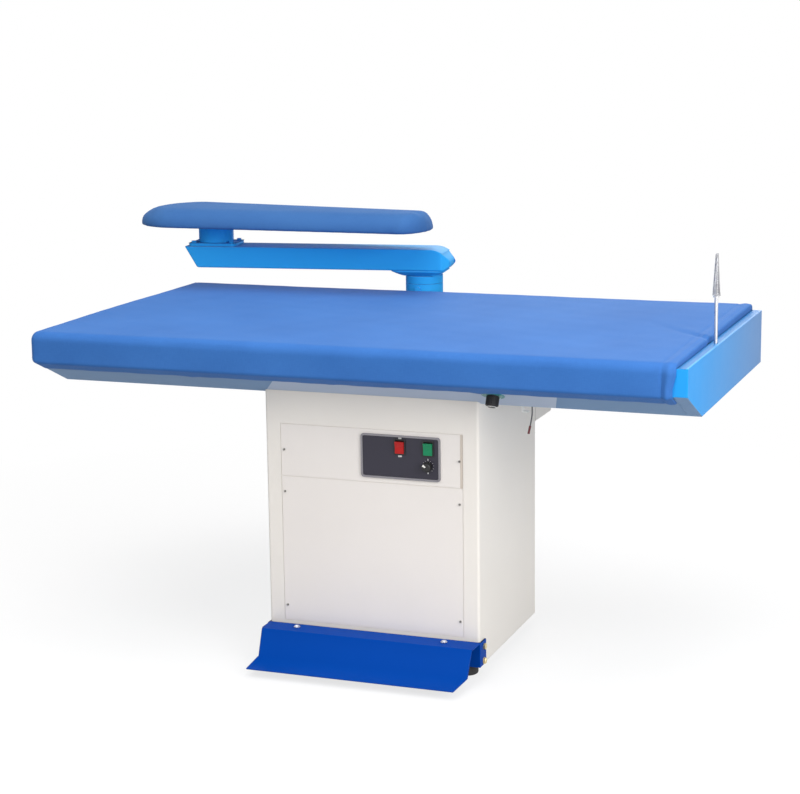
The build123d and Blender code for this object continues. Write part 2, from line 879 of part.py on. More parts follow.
def thermostat_knob():
    base = (Align.CENTER, Align.CENTER, Align.MIN)
    knob = Cylinder(thermostat_knob_diameter / 2, thermostat_knob_height, align=base)
    knob = chamfer(knob.edges().sort_by(Axis.Z)[-1:], thermostat_knob_chamfer)
    lift = dial_thickness + moving_gap
    length = lift + tray_sheet + thermostat_body_depth / 2
    spindle = Pos(0, 0, -length) * Cylinder(spindle_diameter / 2, length, align=base)
    return thermostat_place * Pos(0, 0, lift) * (knob + spindle)


def lead_wire():
    runs = [Vector(*b) - Vector(*a) for a, b in zip(lead_points, lead_points[1:])]
    radii = []
    for before, after in zip(runs, runs[1:]):
        turn = math.radians(before.get_angle(after))
        radii.append(lead_bend_share * min(before.length, after.length) / math.tan(turn / 2))
    path = FilletPolyline(*lead_points, radius=radii)
    section = Plane(origin=path @ 0, z_dir=path % 0) * Circle(lead_diameter / 2)
    wire = sweep(section, path=path)
    expected = math.pi * lead_diameter**2 / 4 * path.length
    print("lead: bend radii", [round(radius, 1) for radius in radii], "length", round(path.length, 1), "mm")
    print("lead: volume over section times length", round(wire.volume / expected, 4))
    return wire


def lead_grommet():
    x, y, z = lead_points[0]
    ring = rod((x, y, tray_bottom), (0, 0, -1), grommet_height, grommet_diameter / 2)
    return ring - hole((x, y, tray_bottom), (0, 0, -1), grommet_height, lead_diameter / 2 + soft_gap)


def lead_sleeve():
    end = Vector(*lead_points[-1])
    direction = (end - Vector(*lead_points[-2])).normalized()
    return rod(end, direction, sleeve_length, sleeve_diameter / 2)


def lead_clip():
    """Small hook: a foot under the tray, a drop and a turned-up end."""
    x0 = clip_x - clip_width / 2
    y0 = lead_points[0][1] - clip_depth / 2
    y1 = y0 + clip_depth
    top = tray_bottom
    clip = block(x0, x0 + clip_width, y0, y1, top - clip_thickness, top)
    clip += block(x0, x0 + clip_thickness, y0, y1, top - clip_drop, top)
    clip += block(x0, x0 + clip_width, y0, y1, top - clip_drop, top - clip_drop + clip_thickness)
    return clip


def mast_place():
    return table_right - mast_edge_inset, mast_y


def mast_rod():
    x, y = mast_place()
    length = mast_below + mast_height + mast_stub
    mast = rod((x, y, rim_z - mast_below), (0, 0, 1), length, mast_diameter / 2)
    collar_z = rim_z + mast_height - mast_collar_thickness
    return mast + rod((x, y, collar_z), (0, 0, 1), mast_collar_thickness, mast_collar_diameter / 2)


def mast_nut():
    x, y = mast_place()
    nut = hex_prism((x, y, rim_z - tray_sheet), (0, 0, -1), mast_nut_flats, mast_nut_height)
    return nut - rod((x, y, rim_z), (0, 0, -1), 4 * mast_nut_height, mast_diameter / 2 + running_gap)


def mast_spring():
    x, y = mast_place()
    z = rim_z + mast_height + spring_wire / 2 + soft_gap
    radii = (spring_bottom_radius, spring_top_radius)
    return wound_spring("mast spring", (x, y, z), spring_turns, spring_pitch, radii, spring_wire)


# Rear support, blower and outlets

def rear_support():
    bottom = cabinet_top - support_height
    corners = [(back_y, bottom), (back_y + support_flat, bottom), (back_y + support_depth, cabinet_top)]
    shell = prism_x(bent_sheet(corners, cabinet_sheet), -side_x, side_x)
    cheek = corners + [(back_y, cabinet_top)]
    for side in (-1, 1):
        x = side * (side_x - cabinet_sheet)
        shell += prism_x(cheek, min(x, side * side_x), max(x, side * side_x))
    return shell & block(-side_x, side_x, back_y, back_y + support_depth, bottom, cabinet_top)


def suction_duct():
    bottom = volute_top + inlet_ring_height
    top = tray_bottom + tray_sheet + duct_collar_thickness
    duct = rod((0, 0, bottom), (0, 0, 1), top - bottom, duct_radius)
    collar_z = tray_bottom + tray_sheet
    duct += rod((0, 0, collar_z), (0, 0, 1), duct_collar_thickness, duct_radius + duct_collar)
    return duct - hole((0, 0, bottom), (0, 0, 1), top - bottom, duct_radius - duct_wall)


def volute_form(inset):
    z0 = volute_floor + inset
    height = volute_height - 2 * inset
    form = rod((0, 0, z0), (0, 0, 1), height, volute_radius - inset)
    end = back_y - cabinet_sheet + (1 if inset else 0)
    return form + block(outlet_left + inset, outlet_right - inset, 0, end, z0, z0 + height)


def blower_housing():
    """Hollow drum with a side outlet, a hole for the shaft and a raised ring round its eye."""
    housing = volute_form(0) - volute_form(volute_wall)
    housing += rod((0, 0, volute_top), (0, 0, 1), inlet_ring_height, duct_radius + duct_collar)
    eye_depth = inlet_ring_height + 2 * volute_wall
    housing -= rod((0, 0, volute_top - 2 * volute_wall), (0, 0, 1), eye_depth + cut_past, eye_diameter / 2)
    return housing - rod((0, 0, volute_floor - cut_past), (0, 0, 1), 4 * volute_wall, shaft_diameter)


def rotor_shaft():
    bottom = volute_floor - motor_flange_thickness - motor_height + shaft_below
    top = volute_floor + volute_height / 2
    return rod((0, 0, bottom), (0, 0, 1), top - bottom, shaft_diameter / 2)


def impeller():
    bottom = volute_floor + volute_wall + impeller_clearance
    top = volute_top - volute_wall - impeller_clearance
    radius = impeller_diameter / 2
    wheel = rod((0, 0, bottom), (0, 0, 1), impeller_plate, radius)
    wheel += rod((0, 0, bottom), (0, 0, 1), (top - bottom) / 2, hub_diameter / 2)
    shroud = rod((0, 0, top - impeller_plate), (0, 0, 1), impeller_plate, radius)
    wheel += shroud - rod((0, 0, bottom), (0, 0, 1), top - bottom + cut_past, eye_diameter / 2)
    half = blade_thickness / 2
    inner = hub_diameter / 2 - half
    tip = radius - blade_thickness
    blade = block(inner, tip, -half, half, bottom + half, (bottom + top) / 2 - half)
    blade += block(eye_diameter / 2 + half, tip, -half, half, bottom + half, top - half)
    for index in range(blade_count):
        wheel += Rot(0, 0, 360 * index / blade_count) * blade
    return wheel - rod((0, 0, bottom - cut_past), (0, 0, 1), top, shaft_diameter / 2)


def motor():
    flange_z = volute_floor - motor_flange_thickness
    case = rod((0, 0, flange_z), (0, 0, 1), motor_flange_thickness, motor_flange_diameter / 2)
    case += rod((0, 0, flange_z - motor_height), (0, 0, 1), motor_height, motor_diameter / 2)
    bore_start = flange_z - motor_height + shaft_below - cut_past
    return case - rod((0, 0, bore_start), (0, 0, 1), motor_height, shaft_diameter / 2 + running_gap)


def blower_stand():
    """Four legs from the base plate to the housing's floor, tied by two bars at the foot."""
    half = leg_spacing / 2
    leg = leg_size / 2
    stand = block(-half - leg, half + leg, -half - leg, -half + leg, base_top, base_top + leg_size)
    stand += block(-half - leg, half + leg, half - leg, half + leg, base_top, base_top + leg_size)
    for x in (-half, half):
        for y in (-half, half):
            stand += block(x - leg, x + leg, y - leg, y + leg, base_top, volute_floor)
    return stand


def exhaust_outlet():
    half = exhaust_flange / 2
    flange_y = back_y + exhaust_flange_thickness
    outlet = block(exhaust_x - half, exhaust_x + half, back_y, flange_y, exhaust_z - half, exhaust_z + half)
    start = (exhaust_x, back_y, exhaust_z)
    outlet += rod(start, (0, 1, 0), exhaust_length, exhaust_bore / 2 + exhaust_wall)
    return outlet - hole(start, (0, 1, 0), exhaust_length, exhaust_bore / 2)


def gland_start(stand_off):
    return (gland_inset - side_x, back_y + stand_off, cabinet_bottom + gland_rise)


def cable_gland():
    gland = hex_prism(gland_start(0), (0, 1, 0), gland_flats, gland_height)
    gland += rod(gland_start(0), (0, -1, 0), gland_height, gland_neck / 2)
    return gland - hole(gland_start(gland_height), (0, -1, 0), 2 * gland_height, gland_bore / 2)


# Foot pedal

def pedal_plate():
    side = [
        (pedal_back, pedal_lip_top),
        (lip_front, pedal_lip_top),
        (face_foot_y, pedal_face_foot),
        (toe_y, pedal_face_foot - pedal_toe_drop),
    ]
    half = pedal_back_width / 2
    plate = prism_x(bent_sheet(side, pedal_sheet), pedal_offset_x - half, pedal_offset_x + half)
    toe = pedal_toe_width / 2
    trapezium = Polyline((-half, pedal_back), (half, pedal_back), (toe, toe_y), (-toe, toe_y), close=True)
    plate &= extrude(Pos(pedal_offset_x, 0, 0) * make_face(trapezium), 2 * pedal_lip_top)
    for x, y in lip_bolt_places():
        plate -= hole((x, y, pedal_lip_top), (0, 0, -1), pedal_sheet, lip_bolt_diameter / 2 + fit_gap)
    return plate


def pedal_frame():
    """Upright plate with a top flange under the lip and an ear along each side of the cabinet."""
    ear_inner = side_x + ear_gap
    ear_outer = ear_inner + ear_thickness
    top = lip_bottom
    frame = block(-ear_outer, ear_outer, pedal_back, frame_inner_y, pedal_frame_bottom, top)
    frame += block(
        -ear_inner, ear_inner, pedal_back - pedal_flange_depth, pedal_back, top - pedal_sheet, top
    )
    slot_radius = guide_diameter / 2 + guide_slot_room
    slot_y = pivot_y - guide_slot_travel
    slot_z = pivot_z - guide_drop
    for side in (-1, 1):
        x0 = min(side * ear_inner, side * ear_outer)
        x1 = x0 + ear_thickness
        ear = block(x0, x1, pedal_back, front_y + ear_back, pedal_frame_bottom, top)
        ear -= hole((x0, pivot_y, pivot_z), (1, 0, 0), ear_thickness, pivot_diameter / 2 + running_gap)
        for y in (slot_y, pivot_y):
            ear -= hole((x0, y, slot_z), (1, 0, 0), ear_thickness, slot_radius)
        slot_x = (x0 - cut_past, x1 + cut_past)
        ear -= block(*slot_x, slot_y, pivot_y, slot_z - slot_radius, slot_z + slot_radius)
        frame += ear
    for x, y in lip_bolt_places():
        frame -= hole((x, y, top), (0, 0, -1), pedal_sheet, lip_bolt_diameter / 2 + fit_gap)
    return frame


def lip_bolt_places():
    y = pedal_back - lip_bolt_setback
    return [(pedal_offset_x + side * lip_bolt_spacing / 2, y) for side in (-1, 1)]


def lip_bolts():
    bolts = []
    for x, y in lip_bolt_places():
        start = (x, y, pedal_lip_top)
        reach = 4 * pedal_sheet
        bolts.append(screw(start, (0, 0, 1), lip_bolt_flats, lip_bolt_head, lip_bolt_diameter, reach))
    return Compound(children=bolts)


def pedal_shafts():
    """Stub shafts fast in the ears, each with an outer head and a crank inside the cabinet."""
    shafts = []
    outer = side_x + ear_gap + ear_thickness
    inner = side_x - cabinet_sheet - crank_wall_gap - crank_thickness
    for side in (-1, 1):
        start = (side * outer, pivot_y, pivot_z)
        shaft = screw(start, (side, 0, 0), pivot_head_flats, pivot_head_height, pivot_diameter, outer - inner)
        x0 = min(side * inner, side * (inner + crank_thickness))
        half = crank_width / 2
        shaft += block(
            x0, x0 + crank_thickness, pivot_y - half, pivot_y + crank_length, pivot_z - half, pivot_z + half
        )
        shafts.append(shaft)
    return Compound(children=shafts)


def guide_bolts():
    bolts = []
    outer = side_x + ear_gap + ear_thickness + moving_gap
    for side in (-1, 1):
        start = (side * outer, pivot_y, pivot_z - guide_drop)
        length = outer - side_x + 3 * cabinet_sheet
        bolts.append(screw(start, (side, 0, 0), lip_bolt_flats, pivot_head_height, guide_diameter, length))
    return Compound(children=bolts)


def pedal_springs():
    springs = []
    z0 = base_top + return_spring_wire / 2 + soft_gap
    z1 = pivot_z - crank_width / 2 - return_spring_wire / 2 - soft_gap
    pitch = (z1 - z0) / return_spring_turns
    reach = side_x - cabinet_sheet - crank_wall_gap - crank_thickness / 2
    y = pivot_y + crank_length - crank_width / 2
    radii = (return_spring_radius, return_spring_radius)
    for side in (-1, 1):
        place = (side * reach, y, z0)
        springs.append(
            wound_spring("pedal spring", place, return_spring_turns, pitch, radii, return_spring_wire)
        )
    return Compound(children=springs)


def pedal_switch():
    width, depth, height = pedal_switch_size
    x0 = plunger_x - width / 2
    x1 = plunger_x + width / 2
    y0 = inner_front_y + plunger_room()
    y1 = y0 + depth
    foot_top = plunger_z - height / 2
    body = block(x0, x1, y0, y1, foot_top, plunger_z + height / 2)
    body += block(x0, x1, inner_front_y, y1, base_top, foot_top)
    start = (plunger_x, y0 - cut_past, plunger_z)
    return body - rod(start, (0, 1, 0), depth, plunger_diameter / 2 + running_gap)


def plunger_room():
    """Space between the front wall and the switch for the plunger's collar and its travel."""
    return plunger_collar / 2 + plunger_travel() + 2 * moving_gap


def plunger_travel():
    return (pivot_z - plunger_z) * math.radians(pedal_press_angle)


def switch_plunger():
    tip = frame_inner_y + moving_gap
    stem_end = inner_front_y + plunger_room() + pedal_switch_size[1] / 2
    plunger = rod((plunger_x, tip, plunger_z), (0, 1, 0), stem_end - tip, plunger_diameter / 2)
    collar_y = inner_front_y + moving_gap
    radius = plunger_collar / 2
    return plunger + rod((plunger_x, collar_y, plunger_z), (0, 1, 0), radius - moving_gap, radius)


# Swivel post and swing arm

def post_bolt_places():
    middle = (post_plate_top + post_plate_bottom) / 2
    dx = post_plate_width / 2 - post_bolt_inset
    dz = post_plate_height / 2 - post_bolt_inset
    return [(post_x + sx * dx, middle + sz * dz) for sx in (-1, 1) for sz in (-1, 1)]


def post_web(inset, front):
    """Box between the tray's back wall and the upright tube, or the air way through it."""
    half = post_web_width / 2 - inset
    return block(
        post_x - half, post_x + half, front, post_y, post_plate_bottom + inset, post_plate_top - inset
    )


def post_socket():
    """Welded bracket: wall plate, hollow web and the upright tube that the arm turns in."""
    half = post_plate_width / 2
    plate_back = table_back + post_plate_thickness
    radius = post_diameter / 2
    length = post_joint_z - post_plate_bottom
    foot = (post_x, post_y, post_plate_bottom)
    socket = block(post_x - half, post_x + half, table_back, plate_back, post_plate_bottom, post_plate_top)
    socket += post_web(0, table_back) + rod(foot, (0, 0, 1), length, radius)
    socket -= rod((post_x, post_y, post_plate_bottom + post_wall), (0, 0, 1), length, radius - post_wall)
    socket -= post_web(post_wall, table_back - cut_past)
    for x, z in post_bolt_places():
        bolt_hole = post_bolt_diameter / 2 + fit_gap
        socket -= hole((x, table_back, z), (0, 1, 0), post_plate_thickness, bolt_hole)
    screw_start = (post_x, post_y - radius, lock_screw_z)
    return socket - hole(screw_start, (0, 1, 0), post_wall, lock_screw_diameter / 2 + running_gap)


def post_bolts():
    bolts = []
    for x, z in post_bolt_places():
        start = (x, table_back + post_plate_thickness, z)
        length = post_plate_thickness + 3 * tray_sheet
        bolts.append(screw(start, (0, 1, 0), post_bolt_flats, post_bolt_head, post_bolt_diameter, length))
    return Compound(children=bolts)


def post_bushes():
    bushes = []
    outer = post_diameter / 2 - post_wall
    for z in (post_joint_z - bush_height, spigot_bottom):
        bush = rod((post_x, post_y, z), (0, 0, 1), bush_height, outer)
        bushes.append(bush - hole((post_x, post_y, z), (0, 0, 1), bush_height, outer - bush_wall))
    return Compound(children=bushes)


def lock_screw():
    start = (post_x, post_y - post_diameter / 2 - moving_gap, lock_screw_z)
    return screw(start, (0, -1, 0), lock_screw_flats, lock_screw_head, lock_screw_diameter, post_wall)


def swivel_collar():
    """Spigot that turns in the bushes, the collar above the joint and the pad under the arm."""
    bottom = spigot_bottom
    top = arm_bottom
    collar_z = post_joint_z + moving_gap
    piece = rod((0, 0, bottom), (0, 0, 1), top - bottom, spigot_radius)
    piece += rod((0, 0, collar_z), (0, 0, 1), collar_height, post_diameter / 2)
    outline = RectangleRounded(arm_pad_length, arm_width, arm_width / 4)
    slab_place = Pos(arm_nose_bottom - arm_pad_length / 2, 0, arm_bottom - arm_pad_thickness)
    slab = extrude(slab_place * outline, arm_pad_thickness)
    piece += fillet(slab.faces().sort_by(Axis.Z)[0].edges(), arm_pad_round)
    piece -= hole((0, 0, bottom), (0, 0, 1), top - bottom, arm_bore)
    return arm_place * piece


def arm_profile(inset):
    nose_z = arm_bottom + arm_nose_tip_height
    corners = [
        (-arm_bottom_reach, arm_bottom),
        (arm_nose_bottom, arm_bottom),
        (arm_nose_tip, nose_z),
        (arm_nose_top, arm_top),
        (-arm_top_reach, arm_top),
    ]
    face = make_face(Polyline(*corners, close=True))
    return offset(face, amount=-inset) if inset else face


def arm_duct():
    """Folded box duct with a mitred left end and a bevelled nose over the post."""
    half = arm_width / 2
    side = Plane(origin=(0, half, 0), x_dir=(1, 0, 0), z_dir=(0, -1, 0))
    duct = extrude(side * arm_profile(0), arm_width)
    for sign in (-1, 1):
        corner = Polyline(
            (arm_nose_tip + cut_past, sign * (half - arm_nose_corner)),
            (arm_nose_tip + cut_past, sign * (half + cut_past)),
            (arm_nose_tip - arm_nose_corner, sign * (half + cut_past)),
            close=True,
        )
        duct -= extrude(Pos(0, 0, arm_bottom - cut_past) * make_face(corner), arm_height + 2 * cut_past)
    inner = Plane(origin=(0, half - arm_sheet, 0), x_dir=(1, 0, 0), z_dir=(0, -1, 0))
    hollow = extrude(inner * arm_profile(arm_sheet), arm_width - 2 * arm_sheet)
    hollow_end = arm_nose_tip - arm_nose_corner - arm_sheet
    duct -= hollow & block(-2 * arm_top_reach, hollow_end, -arm_width, arm_width, arm_bottom, arm_top)
    duct -= rod((0, 0, arm_bottom - cut_past), (0, 0, 1), 3 * arm_sheet, arm_bore)
    duct -= hole((-buck_pivot_reach, 0, arm_top), (0, 0, -1), arm_sheet, buck_inner_bore())
    for x, y in buck_bolt_places():
        start = (x, y, arm_top - 2 * arm_sheet)
        duct -= rod(start, (0, 0, 1), 4 * arm_sheet, buck_bolt_diameter / 2 + fit_gap)
    return arm_place * duct


# Sleeve buck

def buck_inner_bore():
    return buck_spigot_diameter / 2 - buck_spigot_wall


def buck_bolt_places():
    dx = buck_flange_length / 2 - buck_bolt_inset
    dy = buck_flange_width / 2 - buck_bolt_inset
    return [(-buck_pivot_reach + sx * dx, sy * dy) for sx in (-1, 1) for sy in (-1, 1)]


def buck_socket():
    """Flanged spigot on the arm that the buck's post turns on."""
    x = -buck_pivot_reach
    outline = RectangleRounded(buck_flange_length, buck_flange_width, buck_flange_corner)
    piece = extrude(Pos(x, 0, arm_top) * outline, buck_flange_thickness)
    piece += rod((x, 0, arm_top), (0, 0, 1), buck_spigot_top - arm_top, buck_spigot_diameter / 2)
    piece -= hole((x, 0, arm_top), (0, 0, 1), buck_gap, buck_inner_bore())
    for x, y in buck_bolt_places():
        piece -= rod((x, y, arm_top - cut_past), (0, 0, 1), buck_gap, buck_bolt_diameter / 2 + fit_gap)
    return arm_place * piece


def buck_bolts():
    bolts = []
    length = buck_flange_thickness + 4 * arm_sheet
    for x, y in buck_bolt_places():
        start = (x, y, arm_top + buck_flange_thickness)
        bolt = screw(start, (0, 0, 1), buck_bolt_flats, buck_bolt_head, buck_bolt_diameter, length)
        bolts.append(arm_place * bolt)
    return Compound(children=bolts)


def buck_post():
    bottom = arm_top + buck_flange_thickness + moving_gap
    post = rod((0, 0, bottom), (0, 0, 1), buck_bottom - bottom, buck_post_diameter / 2)
    post -= hole((0, 0, bottom), (0, 0, 1), buck_gap, buck_spigot_diameter / 2 + running_gap)
    return buck_place * post


def buck_outline(inset, z):
    """Tapered board outline: wide rounded left end, narrower blunt right end."""
    left = buck_left - inset
    right = buck_right - inset
    wide = buck_left_half_width - inset
    narrow = buck_right_half_width - inset
    left_x = -left + buck_left_round - inset
    right_x = right - buck_right_round + inset
    half_turn = math.sqrt(0.5)
    left_mid = (left_x - (left_x + left) * half_turn, wide * half_turn)
    right_mid = (right_x + (right - right_x) * half_turn, narrow * half_turn)
    lines = [
        Line((right_x, -narrow), (left_x, -wide)),
        ThreePointArc((left_x, -wide), (left_mid[0], -left_mid[1]), (-left, 0)),
        ThreePointArc((-left, 0), left_mid, (left_x, wide)),
        Line((left_x, wide), (right_x, narrow)),
        ThreePointArc((right_x, narrow), right_mid, (right, 0)),
        ThreePointArc((right, 0), (right_mid[0], -right_mid[1]), (right_x, -narrow)),
    ]
    return Pos(0, 0, z) * make_face(Curve() + lines)


def buck_pan():
    pan = extrude(buck_outline(buck_pan_inset, buck_bottom), buck_pan_depth)
    hollow = buck_outline(buck_pan_inset + buck_pan_sheet, buck_bottom + buck_pan_sheet)
    pan -= extrude(hollow, buck_pan_depth)
    pan -= rod((0, 0, buck_bottom - cut_past), (0, 0, 1), buck_pan_depth, buck_inner_bore())
    return buck_place * pan


def buck_pad():
    """Crowned cushion whose sides draw in under its widest line and whose skirt wraps the pan."""
    bottom = buck_bottom - buck_skirt_drop
    levels = [(0.0, buck_skirt_draw), (buck_widest_height, 0.0)] + buck_shoulder
    sections = [buck_outline(inset, bottom + rise) for rise, inset in levels]
    pad = loft(sections, ruled=True)
    pocket = buck_outline(buck_pan_inset - soft_gap, bottom - cut_past)
    pad -= extrude(pocket, buck_skirt_drop + buck_pan_depth + cut_past + soft_gap)
    return buck_place * pad


nodes = {
    "cabinet_shell": cabinet_shell(),
    "base_plate": base_plate(),
    "rubber_feet": rubber_feet(),
    "panel_ledge_frame": ledge_frame(),
    "switch_panel": switch_panel(),
    "panel_screws": panel_screws(),
    "access_panel": access_panel(),
    "control_frame": control_frame(),
    "control_plate": control_plate(),
    "switch_bodies": Compound(children=[switch_body(red_switch_offset), switch_body(green_switch_offset)]),
    "red_rocker": rocker(red_switch_offset),
    "green_rocker": rocker(green_switch_offset),
    "control_pot": control_pot(),
    "control_knob": control_knob(),
    "tray": tray(),
    "left_end_cap": left_end_cap(),
    "right_end_cap": right_end_cap(),
    "deck_plate": deck_plate(),
    "deck_rails": deck_rails(),
    "heater_element": heater_element(),
    "table_pad": table_pad_block(0),
    "table_cover": table_cover(),
    "thermostat_body": thermostat_body(),
    "dial_plate": dial_plate(),
    "thermostat_knob": thermostat_knob(),
    "lead_wire": lead_wire(),
    "lead_grommet": lead_grommet(),
    "lead_sleeve": lead_sleeve(),
    "lead_clip": lead_clip(),
    "mast_rod": mast_rod(),
    "mast_nut": mast_nut(),
    "mast_spring": mast_spring(),
    "rear_support": rear_support(),
    "suction_duct": suction_duct(),
    "blower_housing": blower_housing(),
    "rotor_shaft": rotor_shaft(),
    "impeller": impeller(),
    "motor": motor(),
    "blower_stand": blower_stand(),
    "exhaust_outlet": exhaust_outlet(),
    "cable_gland": cable_gland(),
    "pedal_plate": pedal_plate(),
    "pedal_frame": pedal_frame(),
    "pedal_lip_bolts": lip_bolts(),
    "pedal_shafts": pedal_shafts(),
    "pedal_guide_bolts": guide_bolts(),
    "pedal_springs": pedal_springs(),
    "pedal_switch": pedal_switch(),
    "switch_plunger": switch_plunger(),
    "post_socket": post_socket(),
    "post_bolts": post_bolts(),
    "post_bushes": post_bushes(),
    "lock_screw": lock_screw(),
    "swivel_collar": swivel_collar(),
    "arm_duct": arm_duct(),
    "buck_socket": buck_socket(),
    "buck_bolts": buck_bolts(),
    "buck_post": buck_post(),
    "buck_pan": buck_pan(),
    "buck_pad": buck_pad(),
}

# The origin goes to the middle of the whole footprint, on the floor
boxes = [shape.bounding_box() for shape in nodes.values()]
origin_x = (min(box.min.X for box in boxes) + max(box.max.X for box in boxes)) / 2
origin_y = (min(box.min.Y for box in boxes) + max(box.max.Y for box in boxes)) / 2
print("origin moved to", round(origin_x, 3), round(origin_y, 3))

os.makedirs("parts", exist_ok=True)
for name, shape in nodes.items():
    export_step(Pos(-origin_x, -origin_y, 0) * shape, f"parts/{name}.step")
print(len(nodes), "nodes written")
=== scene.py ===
# %% [markdown]
# # A vacuum ironing table, dressed in Blender
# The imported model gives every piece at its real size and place. This file adds what the
# eye needs: paint, cloth, stitching, rounded folds and light. Each step first says what
# the real piece is, how it could be made here, and why this way was chosen.

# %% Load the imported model
import json
import math

import bmesh
import bpy
from mathutils import Matrix, Vector


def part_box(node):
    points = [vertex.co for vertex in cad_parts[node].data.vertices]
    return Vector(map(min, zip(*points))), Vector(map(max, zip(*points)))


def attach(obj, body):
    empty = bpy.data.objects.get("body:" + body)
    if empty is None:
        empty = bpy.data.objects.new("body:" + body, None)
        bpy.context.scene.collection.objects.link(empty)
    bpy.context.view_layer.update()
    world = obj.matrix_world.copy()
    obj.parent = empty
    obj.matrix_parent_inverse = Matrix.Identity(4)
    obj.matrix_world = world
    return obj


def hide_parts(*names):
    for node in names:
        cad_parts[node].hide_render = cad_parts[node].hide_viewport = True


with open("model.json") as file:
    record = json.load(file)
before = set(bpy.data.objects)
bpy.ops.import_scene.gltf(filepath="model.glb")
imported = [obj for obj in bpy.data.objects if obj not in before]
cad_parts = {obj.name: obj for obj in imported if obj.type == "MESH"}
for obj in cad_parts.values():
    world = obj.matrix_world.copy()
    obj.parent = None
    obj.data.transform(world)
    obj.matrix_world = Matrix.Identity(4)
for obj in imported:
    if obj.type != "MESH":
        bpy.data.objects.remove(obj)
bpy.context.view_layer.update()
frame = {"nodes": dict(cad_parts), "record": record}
mm = 0.001
bodies = frame["record"]["behaviour"]["bodies"]
body_of_node = {node: body for body, nodes in bodies.items() for node in nodes}
slot_of_node = {row["node"]: row["material_slot"] for row in frame["record"]["subparts"]}

# %% [markdown]
# Sizes below are in millimetres from the middle of the cabinet, as a maker would measure
# the machine. One helper turns them into metres of the shared frame. It reads the middle
# from the cabinet itself, so no offset is typed in by hand.

# %% Places measured from the cabinet
cabinet_low, cabinet_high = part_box("cabinet_shell")
cabinet_middle = (cabinet_low + cabinet_high) / 2


def at(x, y, z):
    return Vector((cabinet_middle.x + x * mm, cabinet_middle.y + y * mm, z * mm))


def into_scene(name, data):
    made = bpy.data.objects.new(name, data)
    bpy.context.scene.collection.objects.link(made)
    return made


print("cabinet middle", [round(v, 4) for v in cabinet_middle])

# %% [markdown]
# The camera stands where the photographer stood: a long lens, a little right of the
# front and a little above the table. Its turn, drop and roll are written as angles, and
# the three axes are built from them, which is easier to check than a rotation matrix.

# %% Camera at the photographer's place
photo_width = 800
sensor_width = 36
focal_pixels = 1965.4
camera_place = Vector((1.6264, -4.2646, 1.4461))
view_turn = math.radians(20.56)
view_drop = math.radians(11.09)
view_roll = math.radians(-0.74)


def camera_axes():
    flat = math.cos(view_drop)
    back = Vector((math.sin(view_turn) * flat, -math.cos(view_turn) * flat, math.sin(view_drop)))
    level = Vector((math.cos(view_turn), math.sin(view_turn), 0))
    up = back.cross(level)
    right = level * math.cos(view_roll) + up * math.sin(view_roll)
    return right, back.cross(right), back


camera_data = bpy.data.cameras.new("studio_camera")
camera_data.sensor_fit = "HORIZONTAL"
camera_data.sensor_width = sensor_width
camera_data.lens = sensor_width * focal_pixels / photo_width
camera = into_scene("studio_camera", camera_data)
camera.matrix_world = Matrix.Translation(camera_place) @ Matrix(camera_axes()).transposed().to_4x4()
bpy.context.scene.camera = camera
print("lens", round(camera_data.lens, 1), "mm")

# %% [markdown]
# Node trees are long to write out, so small helpers feed a node's inputs, add a node and
# start a group. A group's inputs have names: a number is a value with that start, and a
# word is a kind of socket. The same helpers serve shader groups and geometry trees.

# %% Helpers for node trees
number_kinds = {float: "Float", int: "Int"}


def feed(tree, node, **values):
    """Set inputs by name, or by _number: a socket is linked, anything else is a value."""
    for key, value in values.items():
        socket = node.inputs[int(key[1:])] if key[0] == "_" else node.inputs[key.replace("_", " ")]
        if isinstance(value, bpy.types.NodeSocket):
            tree.links.new(value, socket)
        else:
            socket.default_value = value


def add_node(tree, kind, settings=None, **inputs):
    made = tree.nodes.new(kind)
    for field, value in (settings or {}).items():
        setattr(made, field, value)
    feed(tree, made, **inputs)
    return made


def add(tree, kind, settings=None, give=0, **inputs):
    """A new node's output: the first one, or the one that is named."""
    return add_node(tree, kind, settings, **inputs).outputs[give]


def new_tree(name, kind, inputs, outputs):
    tree = bpy.data.node_groups.new(name, kind)
    for label, start in inputs.items():
        sort = start if isinstance(start, str) else number_kinds[type(start)]
        socket = tree.interface.new_socket(label, in_out="INPUT", socket_type="NodeSocket" + sort)
        if not isinstance(start, str):
            socket.default_value = start
    for label, sort in outputs.items():
        tree.interface.new_socket(label, in_out="OUTPUT", socket_type="NodeSocket" + sort)
    return tree, tree.nodes.new("NodeGroupInput").outputs, tree.nodes.new("NodeGroupOutput")


def math_node(tree, operation, first, second=0.0):
    return add(tree, "ShaderNodeMath", {"operation": operation}, _0=first, _1=second)


def times(tree, first, second):
    return math_node(tree, "MULTIPLY", first, second)


def plus(tree, first, second):
    return math_node(tree, "ADD", first, second)


def minus(tree, first, second):
    return math_node(tree, "SUBTRACT", first, second)


def vector_node(tree, operation, give=0, **inputs):
    return add(tree, "ShaderNodeVectorMath", {"operation": operation}, give, **inputs)


def noise(tree, vector, scale, detail):
    return add(tree, "ShaderNodeTexNoise", Vector=vector, Scale=scale, Detail=detail)


def between(tree, value, low, high):
    """Spread a 0 to 1 value between two others."""
    return add(tree, "ShaderNodeMapRange", Value=value, To_Min=low, To_Max=high)


def share_of(tree, value, start, end):
    """0 at one value, 1 at another, even in between."""
    return add(tree, "ShaderNodeMapRange", Value=value, From_Min=start, From_Max=end)


def blend_colour(tree, share, first, second):
    return add(tree, "ShaderNodeMix", {"data_type": "RGBA"}, 2, _0=share, _6=first, _7=second)


def axes_of(tree, vector):
    return add_node(tree, "ShaderNodeSeparateXYZ", Vector=vector).outputs


def own_place(tree):
    return add(tree, "ShaderNodeTexCoord", give="Object")


def true_normal(tree):
    return add(tree, "ShaderNodeNewGeometry", give="Normal")


print("node helpers ready")

